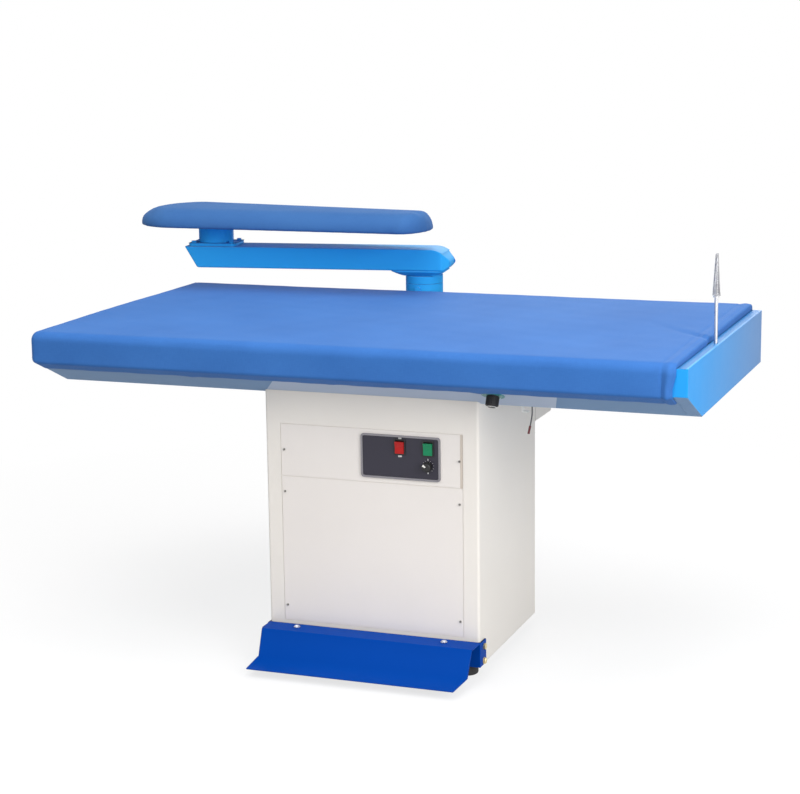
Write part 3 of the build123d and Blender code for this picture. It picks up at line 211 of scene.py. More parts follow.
# %% [markdown]
# Sprayed or powder-coated sheet is never one flat tone. The paint has a fine skin like
# orange peel, the sheet under it is slightly wavy, and tone and gloss drift by a few
# percent. One group makes all of this from object coordinates, and every painted piece
# uses it with its own values.

# %% Shader group: paint skin
skin_outputs = {"Colour": "Color", "Roughness": "Float", "Height": "Float"}
mask_output = {"Mask": "Float"}


def drifted(tree, colour, cloud, amount):
    """A colour that gets darker and lighter by an amount, after a 0 to 1 cloud."""
    tone = between(tree, cloud, minus(tree, 1.0, amount), plus(tree, 1.0, amount))
    return vector_node(tree, "SCALE", _0=colour, Scale=tone)


def make_paint_skin():
    inputs = {"Colour": "Color", "Roughness": 0.35, "Tone drift": 0.05, "Gloss drift": 0.08}
    inputs |= {"Peel scale": 420.0, "Peel share": 0.25, "Wave scale": 7.0}
    inputs |= {"Tone scale": 3.5, "Smudge scale": 24.0}
    tree, given, out = new_tree("paint_skin", "ShaderNodeTree", inputs, skin_outputs)
    where = own_place(tree)
    peel = noise(tree, where, given["Peel scale"], 1.0)
    sheet_wave = noise(tree, where, given["Wave scale"], 0.0)
    cloud = noise(tree, where, given["Tone scale"], 4.0)
    smudge = noise(tree, where, given["Smudge scale"], 5.0)
    half = times(tree, given["Gloss drift"], 0.5)
    least = minus(tree, given["Roughness"], half)
    most = plus(tree, given["Roughness"], half)
    feed(
        tree,
        out,
        Colour=drifted(tree, given["Colour"], cloud, given["Tone drift"]),
        Roughness=between(tree, smudge, least, most),
        Height=plus(tree, times(tree, peel, given["Peel share"]), sheet_wave),
    )
    return tree


paint_skin = make_paint_skin()
print("group", paint_skin.name)

# %% [markdown]
# Edges show use first: paint thins there and dust stays off them. The Bevel node rounds
# the normal near an edge, so the angle between it and the true normal marks the edges.
# A noise breaks the line up, because real wear is patchy. Dust is the other way round:
# it lies on faces that look up. The same up-facing mask, set high on the arm, is a painted
# highlight that makes its top faces paler.

# %% Shader groups: worn edges, and dust on up faces with the arm's painted top highlight
edge_turn = (0.02, 0.2)
patch_range = (0.4, 0.7)
level_range = (0.4, 1.0)
dust_and_sheen_range = (0.0, 0.9)


def make_worn_edges():
    inputs = {"Width": 0.002, "Amount": 0.5, "Patch scale": 90.0}
    tree, given, out = new_tree("worn_edges", "ShaderNodeTree", inputs, mask_output)
    rounded = add(tree, "ShaderNodeBevel", {"samples": 4}, Radius=given["Width"])
    agree = vector_node(tree, "DOT_PRODUCT", "Value", _0=rounded, _1=true_normal(tree))
    sharp = share_of(tree, minus(tree, 1.0, agree), *edge_turn)
    patch = share_of(tree, noise(tree, own_place(tree), given["Patch scale"], 4.0), *patch_range)
    feed(tree, out, Mask=times(tree, times(tree, sharp, patch), given["Amount"]))
    return tree


def make_settled_dust():
    inputs = {"Amount": 0.1, "Cloud scale": 14.0}
    tree, given, out = new_tree("settled_dust", "ShaderNodeTree", inputs, mask_output)
    level = share_of(tree, axes_of(tree, true_normal(tree))["Z"], *level_range)
    cloud = share_of(tree, noise(tree, own_place(tree), given["Cloud scale"], 6.0), *dust_and_sheen_range)
    feed(tree, out, Mask=times(tree, times(tree, level, cloud), given["Amount"]))
    return tree


worn_edges = make_worn_edges()
settled_dust = make_settled_dust()
print("groups", worn_edges.name, settled_dust.name)

# %% [markdown]
# Some pieces have a second tone with a straight edge: the tray's front slope is paler above
# the cabinet, the switch panel has a darker strip at its right side, painted shade of its
# recessed edge, and the end cap has painted shade beside the cover and is grey below. A mask
# between two places along X does all of them. A slant leans its edges, a limit keeps it off
# the back, and it can be kept to faces that look up (1) or down (-1).

# %% Shader group: a band across the width
def make_band_across():
    inputs = {"Left": 0.0, "Right": 0.1, "Slant": 0.0, "Back": 1.0}
    inputs |= {"Facing": 0.0, "Steepest": 0.5, "Play": 0.001}
    tree, given, out = new_tree("band_across", "ShaderNodeTree", inputs, mask_output)
    part = axes_of(tree, own_place(tree))
    place = plus(tree, part["X"], times(tree, part["Y"], given["Slant"]))
    past_left = math_node(tree, "GREATER_THAN", place, given["Left"])
    before_right = math_node(tree, "LESS_THAN", place, given["Right"])
    in_front = math_node(tree, "LESS_THAN", part["Y"], given["Back"])
    inside = times(tree, times(tree, past_left, before_right), in_front)
    turned = times(tree, axes_of(tree, true_normal(tree))["Z"], given["Facing"])
    needed = times(tree, math_node(tree, "ABSOLUTE", given["Facing"]), given["Steepest"])
    looks_there = math_node(tree, "GREATER_THAN", turned, minus(tree, needed, given["Play"]))
    feed(tree, out, Mask=times(tree, inside, looks_there))
    return tree


band_across = make_band_across()
print("group", band_across.name)

# %% [markdown]
# The covers are a plain-weave polyester cotton. Two crossed waves give the threads their
# over and under, slubs (thicker spots in the yarn) run along both thread directions, and
# a broad cloud gives the uneven dye. The pattern follows the cloth's own map in metres,
# so it turns with the folds.

# %% Shader group: woven cloth
along_thread, across_thread = 60.0, 900.0
weave_range = (0.35, 0.65)
dye_range = (0.36, 0.64)
yarn_roughness = (0.72, 0.92)


def make_woven_cloth():
    inputs = {"Colour": "Color", "Light colour": "Color"}
    inputs |= {"Threads per metre": 620.0, "Slub": 0.35, "Cloud scale": 5.0}
    tree, given, out = new_tree("woven_cloth", "ShaderNodeTree", inputs, skin_outputs)
    flat = add(tree, "ShaderNodeUVMap", {"uv_map": "cloth"})
    part = axes_of(tree, flat)
    waves = []
    for axis in ("X", "Y"):
        turns = times(tree, part[axis], given["Threads per metre"])
        waves.append(math_node(tree, "SINE", times(tree, turns, 2 * math.pi)))
    slubs = []
    for stretch in ((along_thread, across_thread, 1.0), (across_thread, along_thread, 1.0)):
        drawn = add(tree, "ShaderNodeMapping", Vector=flat, Scale=stretch)
        slubs.append(noise(tree, drawn, 1.0, 2.0))
    weave = between(tree, times(tree, *waves), *weave_range)
    slub = times(tree, plus(tree, *slubs), 0.5)
    cloud = noise(tree, flat, given["Cloud scale"], 5.0)
    dye = share_of(tree, times(tree, plus(tree, slub, cloud), 0.5), *dye_range)
    feed(
        tree,
        out,
        Colour=blend_colour(tree, dye, given["Colour"], given["Light colour"]),
        Roughness=between(tree, slub, *yarn_roughness),
        Height=plus(tree, weave, times(tree, slub, given["Slub"])),
    )
    return tree


woven_cloth = make_woven_cloth()
print("group", woven_cloth.name)

# %% [markdown]
# Zinc, steel and plastic share one more group: fine streaks or specks in tone, gloss and
# height. Stretched along one axis it reads as drawn or brushed metal, and unstretched as
# moulded plastic or rubber.

# %% Shader group: streaks and specks
def make_fine_streaks():
    inputs = {"Colour": "Color", "Stretch": "Vector"}
    inputs |= {"Tone drift": 0.1, "Roughness": 0.35, "Gloss drift": 0.15}
    tree, given, out = new_tree("fine_streaks", "ShaderNodeTree", inputs, skin_outputs)
    drawn = vector_node(tree, "MULTIPLY", _0=own_place(tree), _1=given["Stretch"])
    streak = noise(tree, drawn, 1.0, 3.0)
    most = plus(tree, given["Roughness"], given["Gloss drift"])
    feed(
        tree,
        out,
        Colour=drifted(tree, given["Colour"], streak, given["Tone drift"]),
        Roughness=between(tree, streak, given["Roughness"], most),
        Height=streak,
    )
    return tree


fine_streaks = make_fine_streaks()
print("group", fine_streaks.name)

# %% [markdown]
# A material joins the groups to one Principled shader. Numbers that are the same all over
# the surface are set on the shader's own sockets. What changes over the surface comes
# from the groups, through colour, roughness and a Bump node.

# %% Materials from the groups
materials = {}
far_off = 2000.0
# The colour of dust, and of the painted highlight on the arm's top faces.
dust_and_sheen_colour = (0.62, 0.58, 0.52, 1.0)
bare_steel = (0.42, 0.42, 0.43, 1.0)
sheen_tint = (0.55, 0.75, 1.0, 1.0)
plain_dust = 0.06
paint_bump, streak_bump, weave_bump = 0.35, 0.4, 0.5
coat_roughness, sheen_roughness = 0.12, 0.35
weave_depth, cloth_shine = 0.0005, 0.25
round_specks = (700.0, 700.0, 700.0)
drawn_up = (500.0, 500.0, 20.0)
drawn_across = (20.0, 400.0, 400.0)


def rgba(colour):
    return (*colour, 1.0)


def start_material(name):
    materials[name] = bpy.data.materials.new(name)
    materials[name].use_nodes = True
    tree = materials[name].node_tree
    return tree, tree.nodes["Principled BSDF"]


def use_group(tree, group, **values):
    made = tree.nodes.new("ShaderNodeGroup")
    made.node_tree = group
    feed(tree, made, **values)
    return made.outputs


def bumped(tree, skin, depth, strength):
    return add(tree, "ShaderNodeBump", Height=skin["Height"], Distance=depth, Strength=strength)


def band(colour, left=-far_off, right=far_off, slant=0.0, back=far_off, facing=0.0):
    """Limits of a second tone, with its colour: left and right along X, the back limit along Y."""
    start = cabinet_middle.x + slant * cabinet_middle.y
    limits = {"Left": start + left * mm, "Right": start + right * mm, "Slant": slant}
    limits |= {"Back": cabinet_middle.y + back * mm, "Facing": facing}
    return limits, colour


# Used for painted shading: a tone that changes along a piece as the light on it changes.
def fade(tree, tone, front, back, back_colour):
    """Turn a tone slowly into another one, from a front place along Y to a back one."""
    share = share_of(tree, axes_of(tree, own_place(tree))["Y"], at(0, front, 0).y, at(0, back, 0).y)
    return blend_colour(tree, share, tone, rgba(back_colour))


def painted(
    name, colour, roughness=0.42, coat=0.0, peel=0.0008, wear=0.12, dust_and_sheen=0.02, shine=0.3, bands=(), painted_shading=None
):
    tree, shader = start_material(name)
    skin = use_group(tree, paint_skin, Colour=rgba(colour), Roughness=roughness)
    edges = use_group(tree, worn_edges, Amount=wear)
    top_faces = use_group(tree, settled_dust, Amount=dust_and_sheen)
    tone = fade(tree, skin["Colour"], *painted_shading) if painted_shading else skin["Colour"]
    for limits, band_colour in bands:
        mask = use_group(tree, band_across, **limits)["Mask"]
        tone = blend_colour(tree, mask, tone, rgba(band_colour))
    worn = blend_colour(tree, edges["Mask"], tone, bare_steel)
    dust_and_sheen_tone = blend_colour(tree, top_faces["Mask"], worn, dust_and_sheen_colour)
    feed(tree, shader, Base_Color=dust_and_sheen_tone, Roughness=skin["Roughness"], Coat_Weight=coat)
    feed(tree, shader, Coat_Roughness=coat_roughness, Specular_IOR_Level=shine)
    feed(tree, shader, Normal=bumped(tree, skin, peel, paint_bump))


def streaked(name, colour, roughness, metallic=0.0, stretch=round_specks, depth=0.0001, drift=0.1):
    tree, shader = start_material(name)
    values = {"Colour": rgba(colour), "Roughness": roughness, "Stretch": stretch, "Tone drift": drift}
    skin = use_group(tree, fine_streaks, **values)
    top_faces = use_group(tree, settled_dust, Amount=plain_dust)
    dust_and_sheen_tone = blend_colour(tree, top_faces["Mask"], skin["Colour"], dust_and_sheen_colour)
    feed(tree, shader, Base_Color=dust_and_sheen_tone, Roughness=skin["Roughness"], Metallic=metallic)
    feed(tree, shader, Normal=bumped(tree, skin, depth, streak_bump))
    return tree, shader


def cloth(name, colour, light_colour, sheen):
    tree, shader = start_material(name)
    skin = use_group(tree, woven_cloth, Colour=rgba(colour), Light_colour=rgba(light_colour))
    feed(tree, shader, Base_Color=skin["Colour"], Roughness=skin["Roughness"])
    feed(tree, shader, Sheen_Weight=sheen, Sheen_Roughness=sheen_roughness, Sheen_Tint=sheen_tint)
    feed(tree, shader, Specular_IOR_Level=cloth_shine, Normal=bumped(tree, skin, weave_depth, weave_bump))


panel_colour = (0.83, 0.785, 0.745)
cap_colour = (0.02, 0.31, 0.77)
tray_colour = (0.155, 0.285, 0.49)
sheet_paint = {"coat": 0.10, "peel": 0.0006, "wear": 0.05}
# Painted shade: the darker strip at the switch panel's right side stands for the shadow in its recessed edge.
recess_shade_strip = band((0.60, 0.53, 0.46), left=209.0, right=217.0)
pale_slope = band((0.45, 0.54, 0.69), right=358.0, slant=0.31, back=-190.0)
left_mitre = band(tray_colour, right=-384.0, slant=0.64)
blue_end = band(cap_colour, left=695.0, back=-341.0)
# Painted shade: the cap's flange is darker beside the cover, where the hem and the groove below it lie in
# shadow.
cover_shade_on_cap = band((0.015, 0.17, 0.44), left=700.0, right=730.5, facing=1.0)
cap_bands = [cover_shade_on_cap, band(tray_colour, facing=-1.0)]
# Painted shading: the end cap turns greyer towards the back, as the light along its side falls off.
cap_painted_shading = (-250.0, 475.0, (0.13, 0.285, 0.58))
painted("cabinet_white", (0.84, 0.80, 0.745), **sheet_paint)
painted("panel_white", panel_colour, dust_and_sheen=0.01, **sheet_paint)
painted("switch_panel_white", panel_colour, dust_and_sheen=0.01, bands=[recess_shade_strip], **sheet_paint)
painted("tray_paint", tray_colour, 0.50, wear=0.10, shine=0.12, bands=[pale_slope, left_mitre, blue_end])
# The end cap carries painted shade beside the cover and painted shading towards its back.
painted("end_cap_blue", cap_colour, 0.45, wear=0.10, shine=0.10, bands=cap_bands, painted_shading=cap_painted_shading)
# Painted highlight: on the arm the up-facing mask is set high, so its top faces are paler and greyer, as they
# catch the light.
painted("arm_blue", (0.030, 0.36, 0.785), 0.55, dust_and_sheen=0.34, shine=0.04)
painted("pedal_blue", (0.001, 0.056, 0.35), peel=0.0007, dust_and_sheen=0.0, shine=0.02)
painted("control_navy", (0.036, 0.034, 0.049), 0.40, peel=0.0002, wear=0.0, dust_and_sheen=0.03)
painted("dial_teal", (0.02, 0.26, 0.27), 0.35, coat=0.1, peel=0.0002, wear=0.0, dust_and_sheen=0.03)
painted("motor_grey", (0.20, 0.22, 0.24), 0.45, coat=0.1, wear=0.15, dust_and_sheen=0.10)
streaked("bright_zinc", (0.74, 0.75, 0.77), 0.20, metallic=1.0)
streaked("yellow_zinc", (0.72, 0.58, 0.30), 0.28, metallic=1.0, drift=0.2)
streaked("mast_steel", (0.66, 0.66, 0.68), 0.20, metallic=1.0, stretch=drawn_up, depth=0.00005)
streaked("plain_steel", (0.52, 0.53, 0.55), 0.38, metallic=1.0, stretch=drawn_across)
streaked("galvanised_steel", (0.60, 0.62, 0.64), 0.42, metallic=1.0, stretch=(60.0, 60.0, 60.0), drift=0.2)
streaked("heater_sheath", (0.30, 0.29, 0.28), 0.45, metallic=1.0, stretch=drawn_across)
streaked("bush_bronze", (0.55, 0.36, 0.16), 0.32, metallic=1.0, stretch=drawn_up)
streaked("control_silver", (0.26, 0.25, 0.27), 0.38, metallic=0.6, stretch=drawn_across)
streaked("screw_grey", (0.28, 0.27, 0.25), 0.45, metallic=0.8)
streaked("spring_steel", (0.40, 0.40, 0.42), 0.20, metallic=1.0, stretch=drawn_up, depth=0.00005)
streaked("black_plastic", (0.010, 0.010, 0.011), 0.42, depth=0.0002)
streaked("white_plastic", (0.90, 0.89, 0.85), 0.42, drift=0.04)
streaked("print_white", (0.80, 0.80, 0.78), 0.5, depth=0.00005, drift=0.03)
streaked("black_rubber", (0.016, 0.016, 0.017), 0.62, depth=0.0004)
streaked("lead_skin", (0.10, 0.10, 0.11), 0.45)
streaked("sleeve_red", (0.13, 0.018, 0.022), 0.40)
streaked("pad_felt", (0.70, 0.67, 0.60), 0.90, stretch=(300.0, 300.0, 300.0), depth=0.0012, drift=0.12)
streaked("cloth_thread", (0.055, 0.19, 0.50), 0.75, stretch=(400.0, 400.0, 400.0), depth=0.0002, drift=0.15)
cloth("cover_cloth", (0.027, 0.125, 0.400), (0.039, 0.158, 0.470), sheen=0.12)
cloth("buck_cloth", (0.030, 0.112, 0.315), (0.042, 0.140, 0.36), sheen=0.05)
print(len(materials), "materials so far")

# %% [markdown]
# The two rockers are clear coloured plastic. A little emission of their own colour is a
# painted glow that stands in for light seen through them, and it stays low enough
# for the plastic's gloss to show.

# %% Rocker plastics
rocker_painted_glow, rocker_roughness = 0.12, 0.22
rocker_coat, rocker_shine = 0.15, 0.2


def lit_plastic(name, colour):
    tree, shader = streaked(name, colour, rocker_roughness, depth=0.00005, drift=0.05)
    feed(tree, shader, Emission_Color=rgba(colour), Emission_Strength=rocker_painted_glow)
    feed(tree, shader, Coat_Weight=rocker_coat, Specular_IOR_Level=rocker_shine)


lit_plastic("red_plastic", (0.40, 0.008, 0.008))
lit_plastic("green_plastic", (0.006, 0.20, 0.085))
print("slots without a material:", sorted(set(slot_of_node.values()) - set(materials)))

# %% [markdown]
# Every node of the imported model first takes the finish of its slot. Three nodes have a
# finish of their own: the lock screw is painted over with its post, the switch panel has
# its strip of painted recess shade, and the ledge behind the panels is painted like them, so their gaps are
# pale.
# Pieces that need a softer or richer shape are replaced further down and keep the finish.

# %% Finish on every node
own_finish = {
    "lock_screw": "arm_blue",
    "switch_panel": "switch_panel_white",
    "panel_ledge_frame": "panel_white",
}
for node, item in frame["nodes"].items():
    item.data.materials.clear()
    item.data.materials.append(materials[own_finish.get(node, slot_of_node[node])])
print("finished", len(frame["nodes"]), "nodes")


def add_piece(name, mesh, body, slot, nodes=(), material=None):
    """Link a mesh as a piece of the machine: attach it to its body, give it its slot's finish unless it has
    one or another is given, and hide the nodes it stands for.
    """
    if material or not mesh.materials:
        mesh.materials.clear()
        mesh.materials.append(material or materials[slot])
    piece = into_scene(name, mesh)
    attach(piece, body)
    if nodes:
        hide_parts(*nodes)
    return piece


def mesh_from(name, points, faces, smooth=True):
    mesh = bpy.data.meshes.new(name)
    mesh.from_pydata([tuple(p) for p in points], [], faces)
    mesh.validate()
    if smooth:
        mesh.shade_smooth()
    return mesh


# %% [markdown]
# A short lead hangs from a grommet under the table and ends in a dark red sleeve. It is a
# free cord, so it is a smooth NURBS curve through the route's own points, with a round
# section of its thickness.

# %% The short lead under the table
lead_route = [(355.5, -160.0, 613.0), (356.0, -160.0, 598.0), (355.6, -160.6, 582.0), (351.6, -161.0, 563.0)]
lead_diameter = 3.0 * mm


def make_lead():
    curve = bpy.data.curves.new("lead_wire_run", "CURVE")
    curve.dimensions = "3D"
    curve.bevel_depth = lead_diameter / 2
    curve.bevel_resolution = 4
    curve.resolution_u = 16
    curve.use_fill_caps = True
    spline = curve.splines.new("NURBS")
    spline.points.add(len(lead_route) - 1)
    for point, place in zip(spline.points, lead_route):
        point.co = (*at(*place), 1.0)
    spline.order_u = 3
    spline.use_endpoint_u = True
    lead = into_scene("lead_wire_run", curve)
    curve.materials.append(materials["lead_skin"])
    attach(lead, "base")
    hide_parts("lead_wire")


make_lead()

# %% [markdown]
# Folded sheet metal has small round folds, and cut rims are rounded even less. A copy of
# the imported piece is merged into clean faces, its edges are sorted into folds and rims by
# the width of the faces beside them, and a weighted Bevel modifier rounds both. The rims
# keep a small radius, so a thin sheet does not close up.

# %% Rounded copies of the sheet-metal pieces
fold_angle = math.radians(25)
flat_angle = math.radians(1)
merge_gap = 0.00002
narrow_face = 4.0 * mm
post_axis = (-137.0, 530.0)
post_radius = 48.6
flare_foot = 787.4
flare_rise = 12.0
flare_draw = 0.28
foot_play = 0.01


def face_width(face):
    return face.calc_area() / max(edge.calc_length() for edge in face.edges)


def merged_copy(node, name):
    mesh = frame["nodes"][node].data.copy()
    mesh.name = name
    work = bmesh.new()
    work.from_mesh(mesh)
    bmesh.ops.remove_doubles(work, verts=work.verts, dist=merge_gap)
    bmesh.ops.dissolve_limit(work, angle_limit=flat_angle, verts=work.verts, edges=work.edges)
    return mesh, work


def weigh_edges(work, rim_share):
    layers = work.edges.layers.float
    layer = layers.get("bevel_weight_edge") or layers.new("bevel_weight_edge")
    folds = 0
    for edge in work.edges:
        if len(edge.link_faces) != 2 or edge.calc_face_angle(0.0) < fold_angle or not edge.is_convex:
            continue
        is_rim = min(face_width(face) for face in edge.link_faces) < narrow_face
        edge[layer] = rim_share if is_rim else 1.0
        folds += not is_rim
    return folds


def flare_collar(work):
    """Draw the collar's flange in towards its foot, so it flares out of the post like a cone."""
    axis = at(*post_axis, 0)
    for vertex in work.verts:
        reach = vertex.co.xy - axis.xy
        rise = (vertex.co.z / mm - flare_foot) / flare_rise
        if -foot_play < rise < 1 and reach.length > post_radius * mm:
            drawn = max(reach.length * (1 - flare_draw * (1 - rise)), post_radius * mm)
            vertex.co.xy = axis.xy + reach * (drawn / reach.length)


def rounded_piece(work, mesh, name, node, width, segments):
    """Finish a rounded skin: the worked mesh as a piece with a Bevel modifier."""
    work.to_mesh(mesh)
    work.free()
    mesh.shade_smooth()
    mesh.set_sharp_from_angle(angle=fold_angle)
    piece = add_piece(name, mesh, body_of_node[node], slot_of_node[node], [node])
    bevel = piece.modifiers.new("rounded folds", "BEVEL")
    bevel.limit_method = "WEIGHT"
    bevel.width = width * mm
    bevel.segments = segments
    bevel.use_clamp_overlap = False
    bevel.harden_normals = True


def rounded_copy(node, fold, rim, segments=3):
    name = node + "_skin"
    mesh, work = merged_copy(node, name)
    if node in reshaped:
        reshaped[node](work)
    folds = weigh_edges(work, rim / fold)
    rounded_piece(work, mesh, name, node, fold, segments)
    return folds


reshaped = {"swivel_collar": flare_collar}
fold_and_rim = {
    "tray": (2.4, 0.5),
    "left_end_cap": (2.0, 0.5),
    "right_end_cap": (2.2, 0.6),
    "pedal_plate": (2.2, 0.6),
    "pedal_frame": (1.6, 0.6),
    "switch_panel": (0.5, 0.4),
    "access_panel": (0.5, 0.4),
    "control_frame": (0.7, 0.7),
    "control_plate": (0.4, 0.3),
    "swivel_collar": (4.0, 1.0),
    "post_socket": (1.5, 0.8),
    "buck_socket": (1.5, 0.8),
    "buck_post": (1.2, 0.8),
    "buck_pan": (1.2, 0.6),
    "rear_support": (1.6, 0.5),
}
for node, (fold, rim) in fold_and_rim.items():
    print(node, "folds rounded:", rounded_copy(node, fold, rim))

# %% [markdown]
# The swing arm is a closed box of folded sheet with a faceted nose. Outside it is a convex
# form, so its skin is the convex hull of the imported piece, and the round folds can be as
# large as on the real one without meeting the inner wall. The level edges across the nose
# are rounded most, because that end is beaten round by hand.

# %% The arm's skin
nose_fold = 20.0
arm_fold = 4.0
arm_rim_share = 0.3
arm_segments = 6
arm_flat_angle = math.radians(2)
nose_start = -105.0
nose_foot = 812.0
level_play = 1.0
nose_tip_reach = 10.0
nose_tip_sink = 10.0


def weigh_nose(work):
    layer = work.edges.layers.float["bevel_weight_edge"]
    start = at(nose_start, 0, nose_foot)
    for edge in work.edges:
        low, high = sorted((v.co.z for v in edge.verts))
        is_level = high - low < level_play * mm
        on_nose = all(v.co.x > start.x and v.co.z > start.z for v in edge.verts)
        if not (is_level and on_nose):
            edge[layer] *= arm_fold / nose_fold


def sink_nose_tip(work):
    """The tip's edge lies a little below the arm's half height."""
    tip = max(v.co.x for v in work.verts)
    for vertex in work.verts:
        if vertex.co.x > tip - nose_tip_reach * mm:
            vertex.co.z -= nose_tip_sink * mm


def make_arm():
    mesh, work = merged_copy("arm_duct", "arm_skin")
    hull = bmesh.ops.convex_hull(work, input=work.verts)
    outside = set(hull["geom"])
    inside = [v for v in work.verts if not any(f in outside for f in v.link_faces)]
    bmesh.ops.delete(work, geom=list({*hull["geom_interior"], *inside}), context="VERTS")
    loose = [f for f in work.faces if f not in outside]
    bmesh.ops.delete(work, geom=loose, context="FACES_ONLY")
    bmesh.ops.dissolve_limit(work, angle_limit=arm_flat_angle, verts=work.verts, edges=work.edges)
    bmesh.ops.recalc_face_normals(work, faces=work.faces)
    sink_nose_tip(work)
    folds = weigh_edges(work, arm_rim_share)
    weigh_nose(work)
    rounded_piece(work, mesh, "arm_skin", "arm_duct", nose_fold, arm_segments)
    return folds


print("arm folds rounded:", make_arm())

# %% [markdown]
# The table's cover is one cloth cap. Its hem lies under the sloping front, it turns up
# over a fold, covers the front wall, rolls over the padded top and hangs down as a skirt
# at the back. A remeshed block would lose the clean weave direction, so the cloth is a
# grid: one profile from hem to skirt, repeated along the table. The grid also gives the
# weave its own flat map in metres.

# %% Profile of the cover
cloth_left = -770.0
cloth_right = 710.0
cloth_front = -350.0
cloth_back = 480.0
cloth_edge = 746.6
cloth_crown = 3.5
crown_end_loss = 0.5
cloth_roll = 20.0
back_roll_radius = 9.0
back_rise = 4.5
cloth_fold = 7.0
fold_height = 678.9
skirt_height = 681.0
hem_run = 47.0
slope_drop = math.radians(24.5)
side_count = 31
top_count = 62
half_roll = 5
slope_count = 8
fold_count = 6


def steps(count):
    return [index / count for index in range(count)]


def straight(start, end, count):
    return [(start[0] + (end[0] - start[0]) * t, start[1] + (end[1] - start[1]) * t) for t in steps(count)]


def curve_part(centre, radius, start, end, count):
    turns = [math.radians(start + (end - start) * t) for t in steps(count)]
    return [(centre[0] + radius * math.cos(a), centre[1] + radius * math.sin(a)) for a in turns]


def cover_profile():
    """Points (depth, height) from the hem over the front and the top to the end of the skirt."""
    reach = cloth_fold * math.tan((math.pi / 2 - slope_drop) / 2)
    slope = (math.cos(slope_drop), -math.sin(slope_drop))
    hem = (cloth_front + hem_run * slope[0], fold_height + hem_run * slope[1])
    fold_start = (cloth_front + reach * slope[0], fold_height + reach * slope[1])
    fold_centre = (cloth_front + cloth_fold, fold_height + reach)
    front_roll = (cloth_front + cloth_roll, cloth_edge - cloth_roll)
    back_roll = (cloth_back - back_roll_radius, cloth_edge - back_roll_radius)
    wall_count = side_count - slope_count - fold_count - half_roll
    points = straight(hem, fold_start, slope_count)
    points += curve_part(fold_centre, cloth_fold, 270 - math.degrees(slope_drop), 180, fold_count)
    points += straight((cloth_front, fold_centre[1]), (cloth_front, front_roll[1]), wall_count)
    points += curve_part(front_roll, cloth_roll, 180, 90, 2 * half_roll)
    points += straight((front_roll[0], cloth_edge), (back_roll[0], cloth_edge), top_count)
    points += curve_part(back_roll, back_roll_radius, 90, 0, 2 * half_roll)
    points += straight((cloth_back, back_roll[1]), (cloth_back, skirt_height), side_count - half_roll)
    return points + [(cloth_back, skirt_height)]


def inward_normals(points):
    normals = []
    for index in range(len(points)):
        before = points[max(index - 1, 0)]
        after = points[min(index + 1, len(points) - 1)]
        run = Vector((after[0] - before[0], after[1] - before[1])).normalized()
        normals.append((run.y, -run.x))
    return normals


cover_points = cover_profile()
cover_normals = inward_normals(cover_points)
print(len(cover_points), "points from hem to skirt")

# %% [markdown]
# A taut cover still shows where hands and heat have been. The pad under it is uneven by
# half a millimetre, a crease runs from the notch at the mast across the corner, the
# right hem is a rolled casing with a sewn groove beside it, and the hem below hangs in
# shallow scallops with a few tie bumps. Each of these is a short function of place, so
# it can be read, moved or switched off. Waves are listed as height, length and start.

# %% Unevenness of the cover
broad_height, small_height = 0.45, 0.22
broad_lengths, broad_starts = (62, 81), (0.7, 0.4)
slanted_lengths = (131, 97)
small_lengths = ((23, 41), (57, 19))
notch = (706.0, -28.0)
notch_depth, notch_width, notch_reach, notch_dip = 4.0, 9.0, 14.0, 0.5
crease_end = (514.0, 164.0)
crease_overrun, crease_fade = 0.05, 1.5
crease_depth, crease_width, crease_spread = 5.5, 5, 9
ridge_height, ridge_place, ridge_width = 2.0, 2.2, 1.4
casing_middle, casing_width = 696.0, 7.0
casing_seam, groove_width = 682.0, 3.5
flat_casing_roll, wall_casing_roll = 1.4, 5.0
flat_casing_groove, wall_casing_groove = 0.9, 2.0
end_seam, end_seam_depth, end_seam_width = -752.0, 0.8, 2.5
wall_waves = ((0.55, 47, 1.1), (0.35, 19, 0.0))
scallops = ((1.5, 21, 0.0), (0.9, 9.3, 0.8))
tie_bumps, tie_width = {-386.0: 7.0, -53.0: 4.0, 281.0: 9.0}, 11.0


def hump(value, width):
    return math.exp(-((value / width) ** 2))


def waves(x, rows):
    return sum(height * math.sin(x / length + start) for height, length, start in rows)


def pad_relief(x, y):
    across = math.sin(x / broad_lengths[0] + broad_starts[0])
    along = math.sin(y / broad_lengths[1] + broad_starts[1])
    broad = across * along + math.sin(x / slanted_lengths[0] - y / slanted_lengths[1])
    rising, falling = small_lengths
    small = math.sin(x / rising[0] + y / rising[1]) * math.sin(y / falling[1] - x / falling[0])
    return broad_height * broad + small_height * small


def crease_relief(x, y):
    run = Vector((crease_end[0] - notch[0], crease_end[1] - notch[1]))
    place = Vector((x - notch[0], y - notch[1]))
    way = run.normalized()
    along = place.dot(way) / run.length
    if along < -crease_overrun or along > 1:
        return 0.0
    aside = place.x * way.y - place.y * way.x
    wide = crease_width + crease_spread * along
    ridge = ridge_height * hump(aside - ridge_place * wide, ridge_width * wide)
    return (-crease_depth * hump(aside, wide) + ridge) * (1 - along) ** crease_fade


def casing_relief(x, height):
    """The rolled hem stands out most on the front wall and is pulled flat on top and below."""
    share = min(1.0, max(0.0, (cloth_edge - height) / cloth_roll)) if height > fold_height else 0.0
    roll = flat_casing_roll + (wall_casing_roll - flat_casing_roll) * share
    groove = flat_casing_groove + (wall_casing_groove - flat_casing_groove) * share
    return roll * hump(x - casing_middle, casing_width) - groove * hump(x - casing_seam, groove_width)


def wall_relief(x, height):
    level = (height - fold_height) / (cloth_edge - fold_height)
    return math.sin(math.pi * level) * waves(x, wall_waves) if 0 < level < 1 else 0.0


def hem_drop(x):
    return waves(x, scallops) + sum(size * hump(x - place, tie_width) for place, size in tie_bumps.items())


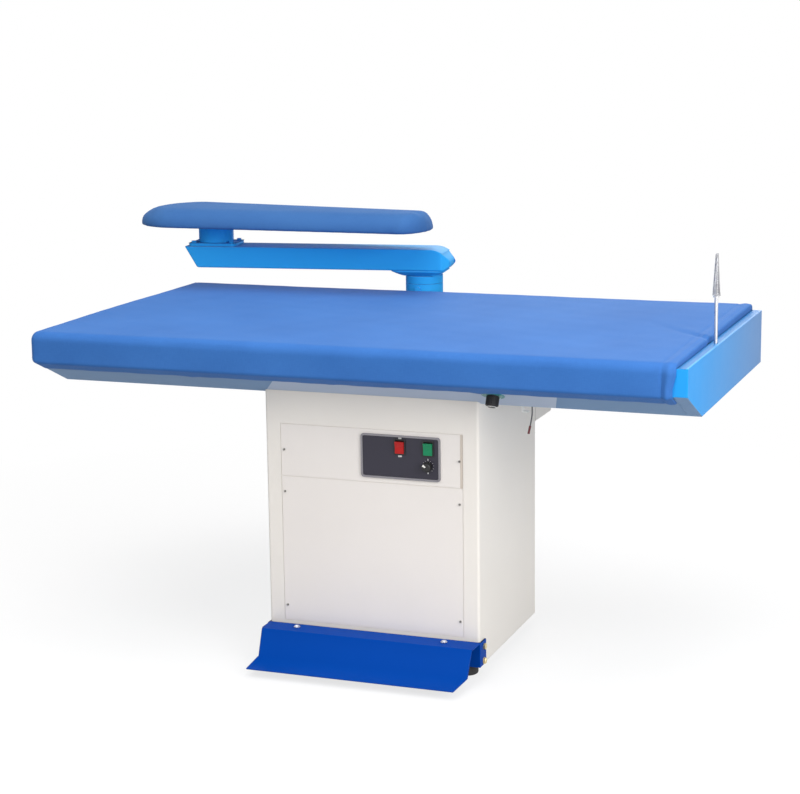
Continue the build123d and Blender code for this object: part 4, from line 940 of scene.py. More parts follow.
def cover_relief(x, depth, height):
    """Millimetres outwards at a place on the cover."""
    seam = end_seam_depth * hump(x - end_seam, end_seam_width)
    total = casing_relief(x, height) - seam + wall_relief(x, height)
    if height > cloth_edge - cloth_roll / 2:
        total += pad_relief(x, depth) + crease_relief(x, depth)
    return total


print("relief at the pad's middle", round(cover_relief(0.0, 60.0, cloth_edge), 2), "mm")

# %% [markdown]
# Along the table the profile is repeated every centimetre, and closer at the rolled hem on
# the right. At the left end it shrinks round a quarter circle and a patch closes the end
# wall. At the right end it curls in and disappears in the slot of the end cap. A patch
# between four edges (a Coons patch) keeps all faces four-sided, so the wall has no pole.

# %% Cover grid
left_round = 17.0
left_gap = 4.0
right_curl = 3.5
wall_curl_limit = 3.0
wall_set_back = 7.0
set_back_run = 30.0
station_pitch = 10.0
casing_start = 665.0
casing_pitch = 2.5
end_steps = 7
hem_points = 5
tuck = ((0.0, 6.0), (0.0, 12.0), (2.5, 14.0))


def cover_stations():
    """(place along the table, inset) from left to right."""
    quarter = [math.pi / 2 * index / end_steps for index in range(end_steps)]
    left = [(cloth_left + left_round * (1 - math.sin(q)), left_round * (1 - math.cos(q))) for q in quarter]
    last = cloth_right - right_curl
    first = cloth_left + left_round + left_gap
    spans = [(first, casing_start, station_pitch), (casing_start, last, casing_pitch)]
    middle = []
    for start, end, pitch in spans:
        count = round((end - start) / pitch)
        middle += [(start + (end - start) * index / count, 0.0) for index in range(count)]
    right = [(last + right_curl * math.sin(q), right_curl * (1 - math.cos(q))) for q in quarter]
    return left[::-1] + middle + right + [(cloth_right - back, right_curl + down) for back, down in tuck]


def cover_crown(x, depth, height):
    """The top is fuller in the middle and rises a little towards the back."""
    across = (2 * depth - cloth_front - cloth_back) / (cloth_back - cloth_front)
    along = (2 * x - cloth_left - cloth_right) / (cloth_right - cloth_left)
    level = (height - skirt_height) / (cloth_edge - skirt_height)
    crown = cloth_crown * max(0.0, 1 - across**2) * (1 - crown_end_loss * along**2)
    return crown + back_rise * max(0.0, level) * (1 + across) / 2


def cover_place(x, inset, index):
    depth, height = cover_points[index]
    inward = cover_normals[index]
    is_top = height > cloth_edge - cloth_roll / 2
    if x > 0 and not is_top:
        inset = min(inset, wall_curl_limit)
    move = inset - cover_relief(x, depth, height)
    dip, nick = 0.0, 0.0
    if is_top:
        nick = notch_depth * hump(depth - notch[1], notch_width) * hump(x - cloth_right, notch_reach)
        dip = notch_dip * nick
    if index < side_count - half_roll:
        near_end = max(0.0, 1 - (cloth_right - x) / set_back_run)
        nick += wall_set_back * near_end * min(1.0, (cloth_edge - cloth_roll - height) / set_back_run)
    if index < hem_points:
        drop = hem_drop(x) * (1 - index / hem_points)
        depth += drop * math.cos(slope_drop)
        height -= drop * math.sin(slope_drop)
    crown = cover_crown(x, depth, height)
    return (x - nick, depth + inward[0] * move, height + inward[1] * move + crown - dip)


def end_patch(ring):
    """Inner points of the patch that closes the left end, as rows from front to back."""
    far = len(ring) - 1 - side_count
    front, top, back = ring[: side_count + 1], ring[side_count : far + 1], ring[far:][::-1]
    rows = []
    for i in range(1, len(top) - 1):
        u = i / (len(top) - 1)
        low = front[0].lerp(back[0], u)
        row = []
        for j in range(len(front)):
            v = j / (len(front) - 1)
            sides = front[j].lerp(back[j], u) + low.lerp(top[i], v)
            row.append(sides - low.lerp(front[-1].lerp(back[-1], u), v))
        rows.append(row)
    return rows


def quads(grid):
    faces = []
    for near, far in zip(grid, grid[1:]):
        for j in range(len(near) - 1):
            faces.append((near[j], near[j + 1], far[j + 1], far[j]))
    return faces


def x_of_end(place):
    """The end wall's flat map runs on from the top: further down is further left."""
    return (cloth_left - (cloth_edge - place.z)) * mm


def make_cover_grid():
    """Points in millimetres, faces, and the flat place of every point in metres."""
    lengths = [0.0]
    for a, b in zip(cover_points, cover_points[1:]):
        lengths.append(lengths[-1] + math.dist(a, b))
    points, flat, grid = [], [], []
    for x, inset in cover_stations():
        row = []
        for index in range(len(cover_points)):
            row.append(len(points))
            points.append(Vector(cover_place(x, inset, index)))
            flat.append((x * mm, lengths[index] * mm))
        grid.append(row)
    rim = grid[0]
    columns = [rim[: side_count + 1]]
    for i, row in enumerate(end_patch([points[k] for k in rim]), side_count + 1):
        column = []
        for place in row[:-1]:
            column.append(len(points))
            points.append(place)
            flat.append((x_of_end(place), lengths[i] * mm))
        columns.append(column + [rim[i]])
    columns.append(rim[len(rim) - 1 - side_count :][::-1])
    return points, quads(grid) + quads(columns), flat


cover_grid = make_cover_grid()
print(len(cover_grid[0]), "points,", len(cover_grid[1]), "faces")

# %% [markdown]
# The grid is cut to the tray. What makes it look like cloth over foam is a short cloth
# simulation: a little air pressure from inside, the hem below the front and the back skirt held, no gravity.
# How far a point may move is capped, so the cover stays taut as in use.

# %% Settle a grid as cloth
settle_frames = 16
cloth_values = {"quality": 5, "mass": 0.3, "bending_stiffness": 3}
cloth_values |= {"tension_stiffness": 25, "compression_stiffness": 25}


def settle(mesh, held, pressure, cap):
    """Inflate a mesh a little as cloth and return how far its points moved at most."""
    piece = into_scene(mesh.name + "_settling", mesh)
    piece.vertex_groups.new(name="held").add(held, 1.0, "REPLACE")
    modifier = piece.modifiers.new("cloth", "CLOTH")
    for field, value in cloth_values.items():
        setattr(modifier.settings, field, value)
    modifier.settings.use_pressure = True
    modifier.settings.uniform_pressure_force = pressure
    modifier.settings.vertex_group_mass = "held"
    modifier.settings.effector_weights.gravity = 0
    modifier.collision_settings.use_collision = False
    modifier.point_cache.frame_end = settle_frames
    for number in range(1, settle_frames + 1):
        bpy.context.scene.frame_set(number)
    view = bpy.context.evaluated_depsgraph_get()
    settled = bpy.data.meshes.new_from_object(piece.evaluated_get(view))
    moves = [after.co - before.co for before, after in zip(mesh.vertices, settled.vertices)]
    bpy.data.objects.remove(piece)
    bpy.data.meshes.remove(settled)
    bpy.context.scene.frame_set(1)
    most = 0.0
    for vertex, move in zip(mesh.vertices, moves):
        if move.length > cap:
            move *= cap / move.length
        most = max(most, move.length)
        vertex.co += move
    mesh.update()
    return most


def lay_flat_map(mesh, flat):
    layer = mesh.uv_layers.new(name="cloth")
    for loop in mesh.loops:
        layer.data[loop.index].uv = flat[loop.vertex_index]


print("cloth settles in", settle_frames, "frames")

# %% The table's cover
cover_thickness = 1.6
cover_pressure = 1.5
cover_cap = 2.0 * mm


def make_cover():
    points, faces, flat = cover_grid
    mesh = mesh_from("table_cover_cloth", [at(*p) for p in points], faces)
    lay_flat_map(mesh, flat)
    count = len(cover_points)
    rows = [i % count for i in range(len(mesh.vertices))]
    held = [i for i, row in enumerate(rows) if row < side_count // 2 or row > count - side_count]
    moved = settle(mesh, held, cover_pressure, cover_cap)
    cover = add_piece("table_cover_cloth", mesh, "base", "cover_cloth", ["table_cover"])
    solid = cover.modifiers.new("cloth thickness", "SOLIDIFY")
    solid.thickness = cover_thickness * mm
    solid.offset = -1
    girth = max(v for u, v in flat) - min(v for u, v in flat)
    length = max(u for u, v in flat) - min(u for u, v in flat)
    return moved, girth, length


cover_moved, cover_girth, cover_length = make_cover()
print("cover", round(cover_girth, 3), "x", round(cover_length, 3), "m")
print("moved", round(cover_moved / mm, 2), "mm")

# %% [markdown]
# The foam sheet under the cover is hidden in use, but it is a piece of its own. Its top
# edges are pressed round by the taut cloth, so a rounded copy is enough.

# %% The foam pad under the cover
pad_fold = 6.0
pad_segments = 4
print("pad edges rounded:", rounded_copy("table_pad", pad_fold, pad_fold, pad_segments))

# %% [markdown]
# The sleeve buck is a board with a stuffed cover: wide and round at the left, narrow and
# blunt at the right. Its cloth is drawn tight over the crown, is widest a little above
# the lower edge, and its hem is gathered under the pan. The form is built from rings:
# one outline, drawn in by an amount for each height. The lists below are such rings, as
# height and inset. Then it is inflated a little as cloth, with the hem and the pocket for
# the pan held.

# %% Rings of the sleeve buck
buck_pivot = (-685.1, 456.9)
buck_turn = math.radians(-4.0)
buck_base = 912.4
buck_left_end = -202.0
buck_right_end = 602.0
buck_left_half = 135.0
buck_right_half = 90.0
buck_left_run = 130.0
buck_left_slope = 0.5
buck_left_edge = 6.0
buck_right_run = 46.0
arc_points = 28
edge_points = 48
pan_pocket = [(16.6, 60.0), (16.6, 20.0), (16.6, 7.6), (9.0, 7.6), (1.9, 7.6)]
buck_under = [(1.9, 26.0), (0.2, 25.0), (-1.5, 20.0), (-2.8, 13.0), (-3.2, 7.0), (-2.5, 4.0)]
buck_side = [(-0.6, 2.0), (2.6, 1.2), (7.4, 1.6), (13.0, 3.2)]
buck_side += [(19.0, 6.0), (25.0, 10.5), (31.0, 16.5), (36.2, 23.0)]
buck_shoulder = [(40.0, 30.5), (42.6, 39.5), (44.2, 52.0)]
buck_crown_steps = 8
buck_crown_rise = 1.6
pocket_middle_share = 0.35


def buck_outline(inset):
    """Points round the board, drawn in by an inset, from the right end anticlockwise."""
    left_middle = buck_left_end + buck_left_run
    right_middle = buck_right_end - buck_right_run
    wide, narrow = buck_left_half - inset, buck_right_half - inset
    left_run = buck_left_run - inset - buck_left_slope * max(0.0, inset - buck_left_edge)
    right_run = buck_right_run * narrow / buck_right_half
    points = []
    for t in steps(arc_points):
        angle = math.pi * (t - 0.5)
        points.append((right_middle + right_run * math.cos(angle), narrow * math.sin(angle)))
    points += straight((right_middle, narrow), (left_middle, wide), edge_points)
    for t in steps(arc_points):
        angle = math.pi * (t + 0.5)
        points.append((left_middle + left_run * math.cos(angle), wide * math.sin(angle)))
    return points + straight((left_middle, -wide), (right_middle, -narrow), edge_points)


def spine_place(x):
    """Nearest place on the board's middle line."""
    return min(max(x, buck_left_end + buck_left_half), buck_right_end - buck_right_half)


def buck_rings():
    """Rings of (x, y, height) from the pocket's middle round the hem and over to the crown."""
    heights = pan_pocket + buck_under + buck_side + buck_shoulder
    rings = [[(x, y, rise) for x, y in buck_outline(inset)] for rise, inset in heights]
    top_rise, top_inset = buck_shoulder[-1]
    spine = [spine_place(x) for x, y in buck_outline(top_inset)]
    middle = [Vector((x, 0.0, pan_pocket[0][0])) for x in spine]
    inner = [tuple(a.lerp(Vector(b), pocket_middle_share)) for a, b in zip(middle, rings[0])]
    top = rings[-1]
    for share in steps(buck_crown_steps)[1:]:
        rise = top_rise + buck_crown_rise * share * (2 - share)
        rings.append([(x + (sx - x) * share, y - y * share, rise) for (x, y, z), sx in zip(top, spine)])
    return [inner] + rings


buck_ring_list = buck_rings()
print(len(buck_ring_list), "rings of", len(buck_ring_list[0]), "points")

# %% [markdown]
# The two middles, at the crown and in the pocket, are narrow slits. They are closed by
# joining the front half of the last ring to its back half, point for point, which keeps
# the faces four-sided there too.

# %% The padded sleeve buck
gather_count = 46
gather_depth = 0.9
gather_height = 16
buck_pressure = 3.0
buck_cap = 2.0 * mm


def buck_to_frame(x, y, rise):
    turned_x = x * math.cos(buck_turn) - y * math.sin(buck_turn)
    turned_y = x * math.sin(buck_turn) + y * math.cos(buck_turn)
    return at(buck_pivot[0] + turned_x, buck_pivot[1] + turned_y, buck_base + rise)


def gathers(ring, index):
    """Small pleats of the drawn hem, strongest under the lower edge."""
    rise = buck_ring_list[ring][index][2]
    if ring < len(pan_pocket) + 1 or rise > gather_height:
        return 0.0
    wave = math.cos(gather_count * 2 * math.pi * index / len(buck_ring_list[ring]))
    return gather_depth * wave * (1 - rise / gather_height)


def close_slit(ring, turned):
    """Faces that join the two long halves of a ring."""
    half = len(ring) // 2
    start = arc_points // 2
    order = ring[start:] + ring[:start]
    near, far = order[:half], order[half:][::-1]
    faces = list(zip(near, near[1:], far[1:], far))
    return [(a, d, c, b) for a, b, c, d in faces] if turned else faces


def buck_points():
    """Points of the pleated rings, their flat places in metres, and their numbers row by row."""
    points, flat, rows = [], [], []
    run = [0.0] * len(buck_ring_list[0])
    for number, ring in enumerate(buck_ring_list):
        row = []
        for index, (x, y, rise) in enumerate(ring):
            out = Vector((x - spine_place(x), y)).normalized()
            pleat = gathers(number, index)
            row.append(len(points))
            points.append(buck_to_frame(x + out.x * pleat, y + out.y * pleat, rise))
            if number:
                run[index] += math.dist(buck_ring_list[number - 1][index], ring[index])
            reach = out * run[index]
            flat.append(((x + reach.x) * mm, (y - reach.y) * mm))
        rows.append(row + row[:1])
    return points, flat, rows


def make_buck_pad():
    points, flat, rows = buck_points()
    faces = [face[::-1] for face in quads(rows)]
    faces += close_slit(rows[0][:-1], True) + close_slit(rows[-1][:-1], False)
    mesh = mesh_from("buck_pad_cloth", points, faces)
    work = bmesh.new()
    work.from_mesh(mesh)
    bmesh.ops.recalc_face_normals(work, faces=work.faces)
    work.to_mesh(mesh)
    work.free()
    lay_flat_map(mesh, flat)
    held_rings = len(pan_pocket) + 1 + len(buck_under) // 2
    held = list(range(held_rings * len(buck_ring_list[0])))
    moved = settle(mesh, held, buck_pressure, buck_cap)
    pad = add_piece("buck_pad_cloth", mesh, "sleeve_buck", "buck_cloth", ["buck_pad"])
    return moved


print("buck pad moved", round(make_buck_pad() / mm, 2), "mm")

# %% [markdown]
# Screws, bolts, stitches, ribs, dial marks and the wound spring repeat one shape by a
# rule, which is what Geometry Nodes are for. Each tree has named inputs, ends in realised
# and coloured geometry, and is turned into a plain mesh right away, so that nothing
# live is left on the piece.

# %% Run a geometry tree once
def plain_mesh(piece):
    """The finished mesh of an object, which is then removed."""
    view = bpy.context.evaluated_depsgraph_get()
    mesh = bpy.data.meshes.new_from_object(piece.evaluated_get(view))
    bpy.data.objects.remove(piece)
    return mesh


def grow(tree, finish, base=None, **values):
    """The plain mesh that a tree makes from a base mesh, with inputs found by their names."""
    piece = into_scene(tree.name + "_growing", base or bpy.data.meshes.new("empty_base"))
    modifier = piece.modifiers.new("grow", "NODES")
    modifier.node_group = tree
    values["Finish"] = materials[finish]
    for item in tree.interface.items_tree:
        key = item.name.replace(" ", "_")
        if item.in_out == "INPUT" and key in values:
            modifier[item.identifier] = values[key]
    mesh = plain_mesh(piece)
    mesh.name = tree.name
    mesh.shade_smooth()
    mesh.set_sharp_from_angle(angle=fold_angle)
    return mesh


def points_mesh(places, aims):
    """A mesh of loose points, each with the direction that it faces."""
    mesh = bpy.data.meshes.new("places")
    mesh.from_pydata([tuple(p) for p in places], [], [])
    layer = mesh.attributes.new("aim", "FLOAT_VECTOR", "POINT")
    for item, aim in zip(layer.data, aims):
        item.vector = aim
    return mesh


def geometry_tree(name, **inputs):
    named = {key.replace("_", " "): value for key, value in inputs.items()}
    whole = {"Geometry": "Geometry", **named, "Finish": "Material"}
    return new_tree(name, "GeometryNodeTree", whole, {"Geometry": "Geometry"})


def close_tree(tree, given, out, geometry):
    solid = add(tree, "GeometryNodeRealizeInstances", Geometry=geometry)
    feed(tree, out, Geometry=add(tree, "GeometryNodeSetMaterial", Geometry=solid, Material=given["Finish"]))
    return tree


def join(tree, *parts):
    made = tree.nodes.new("GeometryNodeJoinGeometry")
    for part in reversed(parts):
        tree.links.new(part, made.inputs[0])
    return made.outputs[0]


def combined(tree, x=0.0, y=0.0, z=0.0):
    return add(tree, "ShaderNodeCombineXYZ", X=x, Y=y, Z=z)


def lifted(tree, part, z, turn=0.0):
    """Lift a part, and turn it about its upright axis."""
    values = {"Translation": combined(tree, z=z), "Rotation": (0.0, 0.0, turn)}
    return add(tree, "GeometryNodeTransform", Geometry=part, **values)


def cylinder(tree, corners, radius, height):
    return add(tree, "GeometryNodeMeshCylinder", Vertices=corners, Radius=radius, Depth=height)


def cone(tree, corners, top, bottom, height):
    values = {"Radius Top": top, "Radius Bottom": bottom, "Depth": height}
    return add(tree, "GeometryNodeMeshCone", Vertices=corners, **values)


def bar(tree, x, y, z):
    return add(tree, "GeometryNodeMeshCube", Size=combined(tree, x, y, z))


def spread(tree, points, part, rotation, **more):
    values = {"Points": points, "Instance": part, "Rotation": rotation, **more}
    return add(tree, "GeometryNodeInstanceOnPoints", **values)


def along_x(tree, vector):
    return add(tree, "FunctionNodeAlignRotationToVector", {"axis": "X"}, Vector=vector)


def outward(tree):
    return along_x(tree, add(tree, "GeometryNodeInputPosition"))


def facing(tree, spin_seed):
    """Rotation that faces along the aim attribute, with a random turn about it."""
    aim = add(tree, "GeometryNodeInputNamedAttribute", {"data_type": "FLOAT_VECTOR"}, Name="aim")
    face = add(tree, "FunctionNodeAlignRotationToVector", {"axis": "Z"}, Vector=aim)
    angle = add(tree, "FunctionNodeRandomValue", give=1, _2=0.0, _3=math.pi, _8=spin_seed)
    values = {"Rotation": face, "Rotate By": combined(tree, z=angle)}
    return add(tree, "FunctionNodeRotateRotation", {"rotation_space": "LOCAL"}, **values)


print("helpers ready")

# %% [markdown]
# Panel screws are small pan heads with a cross recess. The head is a short cylinder under
# a cone, and two crossed bars are cut out of it.

# %% Geometry tree: cross-head screws
screw_corners = 20
screw_seed = 3


def make_cross_screws():
    sizes = {"Diameter": 0.008, "Height": 0.002, "Slot": 0.0013}
    shares = {"Crown_share": 0.7, "Slot_share": 0.62, "Slot_lift": 0.95}
    tree, given, out = geometry_tree("cross_screws", **sizes, **shares)
    radius = times(tree, given["Diameter"], 0.5)
    half = times(tree, given["Height"], 0.5)
    disc = cylinder(tree, screw_corners, radius, half)
    dome = cone(tree, screw_corners, times(tree, radius, given["Crown share"]), radius, half)
    head = join(tree, lifted(tree, disc, times(tree, given["Height"], 0.25)), lifted(tree, dome, half))
    slot = bar(tree, times(tree, given["Diameter"], given["Slot share"]), given["Slot"], given["Height"])
    above = times(tree, given["Height"], given["Slot lift"])
    cross = join(tree, lifted(tree, slot, above), lifted(tree, slot, above, math.pi / 2))
    values = {"Mesh 1": head, "Mesh 2": cross}
    cut = add(tree, "GeometryNodeMeshBoolean", {"operation": "DIFFERENCE"}, **values)
    return close_tree(tree, given, out, spread(tree, given["Geometry"], cut, facing(tree, screw_seed)))


cross_screws = make_cross_screws()
print("tree", cross_screws.name)

# %% [markdown]
# Bolts are hexagon heads with a chamfered top on a flat washer. No two bolts end up at the
# same angle when they are tightened, so each gets its own random turn from a fixed seed.

# %% Geometry tree: hexagon bolts
washer_corners = 24
bolt_seed = 7


def make_hexagon_bolts():
    sizes = {"Flats": 0.013, "Height": 0.005, "Washer": 0.016, "Washer_thickness": 0.0012}
    shares = {"Block_share": 0.8, "Chamfer_share": 0.2, "Chamfer_draw": 0.86}
    tree, given, out = geometry_tree("hexagon_bolts", **sizes, **shares)
    corner = times(tree, given["Flats"], 1 / math.sqrt(3))
    tall = times(tree, given["Height"], given["Block share"])
    thin = times(tree, given["Height"], given["Chamfer share"])
    lift = times(tree, given["Washer thickness"], 0.5)
    washer = cylinder(tree, washer_corners, times(tree, given["Washer"], 0.5), given["Washer thickness"])
    block = cylinder(tree, 6, corner, tall)
    chamfer = cone(tree, 6, times(tree, corner, given["Chamfer draw"]), corner, thin)
    middle = times(tree, tall, 0.5)
    bolt = join(tree, lifted(tree, washer, lift), lifted(tree, block, middle), lifted(tree, chamfer, tall))
    return close_tree(tree, given, out, spread(tree, given["Geometry"], bolt, facing(tree, bolt_seed)))


hexagon_bolts = make_hexagon_bolts()
print("tree", hexagon_bolts.name)

# %% [markdown]
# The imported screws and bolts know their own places: each loose part of their mesh is one
# screw. Its box gives the head's middle, and the side that it faces is known per piece.

# %% Screws and bolts in place
def loose_boxes(node):
    """Low and high corners of a node's separate parts, always in the mesh's own order."""
    work = bmesh.new()
    work.from_mesh(frame["nodes"][node].data)
    bmesh.ops.remove_doubles(work, verts=work.verts, dist=merge_gap)
    waiting = dict.fromkeys(work.verts)
    boxes = []
    while waiting:
        found = [next(iter(waiting))]
        waiting.pop(found[0])
        for vertex in found:
            for edge in vertex.link_edges:
                other = edge.other_vert(vertex)
                if other in waiting:
                    waiting.pop(other)
                    found.append(other)
        low = Vector([min(v.co[k] for v in found) for k in range(3)])
        high = Vector([max(v.co[k] for v in found) for k in range(3)])
        boxes.append((low, high))
    work.free()
    return boxes


def head_places(node, aim, height):
    """Points under each head: the middle of its box, pushed out to the head's foot."""
    places, aims = [], []
    for low, high in loose_boxes(node):
        middle = (low + high) / 2
        way = Vector(aim)
        if node == "pedal_guide_bolts":
            way = Vector((math.copysign(1, middle.x - cabinet_middle.x), 0, 0))
        half = abs((high - low).dot(way)) / 2
        places.append(middle + way * (half - height))
        aims.append(way)
    return points_mesh(places, aims)


screw_rise = 2.0 * mm
bolt_rows = {
    "pedal_lip_bolts": ((0, 0, 1), 10.0, 4.0, 15.0, "bright_zinc"),
    "buck_bolts": ((0, 0, 1), 10.0, 5.0, 15.0, "arm_blue"),
    "post_bolts": ((0, 1, 0), 13.0, 5.0, 18.0, "bright_zinc"),
    "pedal_guide_bolts": ((1, 0, 0), 13.0, 6.0, 16.0, "yellow_zinc"),
}
for node, (aim, flats, height, washer, finish) in bolt_rows.items():
    places = head_places(node, aim, height * mm)
    sizes = {"Flats": flats * mm, "Height": height * mm, "Washer": washer * mm}
    mesh = grow(hexagon_bolts, finish, places, **sizes)
    add_piece(node + "_heads", mesh, body_of_node[node], slot_of_node[node], [node])
    print(node, len(mesh.polygons), "faces")
places = head_places("panel_screws", (0, -1, 0), screw_rise)
mesh = grow(cross_screws, "screw_grey", places, Height=screw_rise)
add_piece("panel_screw_heads", mesh, "base", slot_of_node["panel_screws"], ["panel_screws"])
print("panel screws", len(mesh.polygons), "faces")

# %% [markdown]
# The mast carries a close-wound spring that tapers to the tip and keeps the iron's lead up.
# A spiral curve with a round wire drawn along it gives the coils, and the taper comes from
# its two radii.

# %% Geometry tree: wound spring
spring_place = (725.0, -25.0, 843.2)
spring_turns = 39
spring_pitch = 2.3


def make_wound_spring():
    sizes = {"Turns": 39.0, "Height": 0.09, "Low_radius": 0.0084, "High_radius": 0.0027, "Wire": 0.00175}
    tree, given, out = geometry_tree("wound_spring", **sizes)
    values = {"Rotations": given["Turns"], "Height": given["Height"]}
    values |= {"Start Radius": given["Low radius"], "End Radius": given["High radius"]}
    path = add(tree, "GeometryNodeCurveSpiral", Resolution=18, **values)
    thick = times(tree, given["Wire"], 0.5)
    wire = add(tree, "GeometryNodeCurvePrimitiveCircle", Resolution=8, Radius=thick)
    coil = add(tree, "GeometryNodeCurveToMesh", Curve=path, Profile_Curve=wire, Fill_Caps=True)
    return close_tree(tree, given, out, coil)


spring_sizes = {"Turns": float(spring_turns), "Height": spring_turns * spring_pitch * mm}
mesh = grow(make_wound_spring(), "spring_steel", **spring_sizes)
mesh.transform(Matrix.Translation(at(*spring_place)))
add_piece("mast_spring_coils", mesh, "base", slot_of_node["mast_spring"], ["mast_spring"])
print("spring", len(mesh.polygons), "faces")

# %% [markdown]
# Both knobs are black moulded plastic with ribs for the fingers. A tapered body carries a
# ring of ribs: bars placed on a circle, each turned to face outwards. The tree works round
# the origin, and the finished mesh is then moved to its shaft.

# %% Geometry tree: ribbed knobs
knob_corners = 48


def make_ribbed_knob():
    sizes = {"Radius": 0.012, "Height": 0.015, "Ribs": 24, "Rib_depth": 0.0006}
    shares = {"Taper": 0.92, "Body_share": 0.9, "Edge_share": 0.1, "Top_share": 0.84, "Rib_ring": 0.97}
    rib_shares = {"Rib_width": 2.2, "Rib_reach": 3.0, "Rib_length": 0.78, "Rib_lift": 0.45}
    tree, given, out = geometry_tree("ribbed_knob", **sizes, **shares, **rib_shares)
    low = minus(tree, given["Radius"], given["Rib depth"])
    high = times(tree, low, given["Taper"])
    tall = times(tree, given["Height"], given["Body share"])
    body = cone(tree, knob_corners, high, low, tall)
    edge = times(tree, given["Height"], given["Edge share"])
    cap = cone(tree, knob_corners, times(tree, high, given["Top share"]), high, edge)
    values = {"Vertices": given["Ribs"], "Radius": times(tree, low, given["Rib ring"])}
    ring = add(tree, "GeometryNodeMeshCircle", **values)
    deep, wide = (times(tree, given["Rib depth"], given[key]) for key in ("Rib reach", "Rib width"))
    rib = bar(tree, deep, wide, times(tree, given["Height"], given["Rib length"]))
    ribs = spread(tree, ring, rib, outward(tree))
    half = times(tree, given["Height"], given["Rib lift"])
    return close_tree(tree, given, out, join(tree, body, lifted(tree, cap, tall), lifted(tree, ribs, half)))


ribbed_knob = make_ribbed_knob()
print("tree", ribbed_knob.name)

# %% [markdown]
# Dial marks are thin printed bars on an arc. A short tree puts one bar at each point of an
# arc and turns it along the radius.

# %% Geometry tree: dial marks
print_thickness = 0.2


def make_dial_marks():
    sizes = {"Radius": 0.016, "Start": -0.785, "Sweep": 4.712, "Marks": 11, "Length": 0.003, "Width": 0.0006}
    tree, given, out = geometry_tree("dial_marks", **sizes)
    values = {"Start Angle": given["Start"], "Sweep Angle": given["Sweep"]}
    arc = add(tree, "GeometryNodeCurveArc", Resolution=given["Marks"], Radius=given["Radius"], **values)
    points = add(tree, "GeometryNodeCurveToPoints", {"mode": "EVALUATED"}, Curve=arc)
    mark = bar(tree, given["Length"], given["Width"], print_thickness * mm)
    return close_tree(tree, given, out, spread(tree, points, mark, outward(tree)))


dial_marks = make_dial_marks()
print("tree", dial_marks.name)

# %% [markdown]
# Each control has its own small frame: where it stands, which way is right and which way
# it faces. With these the knob, its pointer, its marks and its lettering are all made flat
# round the origin and then laid in place together.

# %% Knobs, pointers and dial marks
raised_line = 0.4
pointer_foot = 0.5
ring_corners = 40
word_weight = 0.05
to_the_right, to_the_front = (1, 0, 0), (0, -1, 0)


def standing(place, out):
    """Matrix of a control: x to the right on its face, z out of the face."""
    right, out = Vector(to_the_right), Vector(out).normalized()
    turn = Matrix((right, out.cross(right), out)).transposed().to_4x4()
    return Matrix.Translation(at(*place)) @ turn


def pointer_mesh(inner, outer, half_width, level):
    """A raised pointer line on a knob's face, widening to its tip."""
    foot = half_width * pointer_foot
    flat = [(-foot, inner), (foot, inner), (half_width, outer), (-half_width, outer)]
    heights = (level * mm, (level + raised_line) * mm)
    points = [(x * mm, y * mm, z) for z in heights for x, y in flat]
    faces = [(3, 2, 1, 0), (4, 5, 6, 7)] + [(i, (i + 1) % 4, (i + 1) % 4 + 4, i + 4) for i in range(4)]
    return mesh_from("pointer", points, faces, False)


def ring_mesh(inner, outer, level):
    """A thin flat ring on a knob's face."""
    turns = [2 * math.pi * index / ring_corners for index in range(ring_corners)]
    high = level + raised_line
    loops = [(inner, level), (outer, level), (outer, high), (inner, high)]
    points = [(r * math.cos(a) * mm, r * math.sin(a) * mm, z * mm) for r, z in loops for a in turns]
    closed = [*range(ring_corners), 0]
    rows = [[loop * ring_corners + index for index in closed] for loop in (0, 1, 2, 3, 0)]
    return mesh_from("ring", points, [face[::-1] for face in quads(rows)], False)


def word_mesh(text, size):
    curve = bpy.data.curves.new("word", "FONT")
    curve.body = text
    curve.size = size * mm
    curve.align_x = "CENTER"
    curve.align_y = "CENTER"
    curve.extrude = print_thickness / 2 * mm
    curve.offset = word_weight * size * mm
    return plain_mesh(into_scene("word", curve))


def joined(name, meshes, matrix):
    """One mesh from several, laid in place."""
    work = bmesh.new()
    for mesh in meshes:
        work.from_mesh(mesh)
    whole = bpy.data.meshes.new(name)
    work.to_mesh(whole)
    work.free()
    whole.transform(matrix)
    return whole


def shifted(mesh, x, y):
    mesh.transform(Matrix.Translation((x * mm, y * mm, 0)))
    return mesh


def add_knob(name, node, body, matrix, pointer, **sizes):
    """A ribbed knob on its shaft, and the pointer on its face."""
    mesh = grow(ribbed_knob, "black_plastic", **sizes)
    mesh.transform(matrix)
    add_piece(name + "_ribs", mesh, body, "black_plastic", [node])
    add_piece(name + "_pointer", pointer, body, "white_plastic")


fan_knob_place = (136.0, -217.9, 470.0)
fan_knob_radius, fan_knob_height, fan_knob_ribs = 10.8, 15.0, 30
fan_pointer_inner, fan_pointer_outer, fan_pointer_half = 1.5, 9.0, 2.6
fan_knob_turn = Matrix.Rotation(math.radians(55), 4, "Z")
heat_knob_place = (305.0, -277.7, 649.3)
heat_knob_radius, heat_knob_height, heat_knob_ribs, heat_rib_depth = 14.0, 24.0, 28, 0.9
heat_pointer_inner, heat_pointer_outer, heat_pointer_half = 3.0, 9.5, 1.0
heat_highlight_inner, heat_highlight_outer = 9.0, 12.0
dial_thickness, knob_lift, pointer_sink = 1.5, 0.4, 0.2

fan_knob_frame = standing(fan_knob_place, to_the_front)
pointer_level = fan_knob_height - pointer_sink
pointer = pointer_mesh(fan_pointer_inner, fan_pointer_outer, fan_pointer_half, pointer_level)
pointer.transform(fan_knob_frame @ fan_knob_turn)
sizes = {"Radius": fan_knob_radius * mm, "Height": fan_knob_height * mm, "Ribs": fan_knob_ribs}
add_knob("control_knob", "control_knob", "fan_setting", fan_knob_frame, pointer, **sizes)

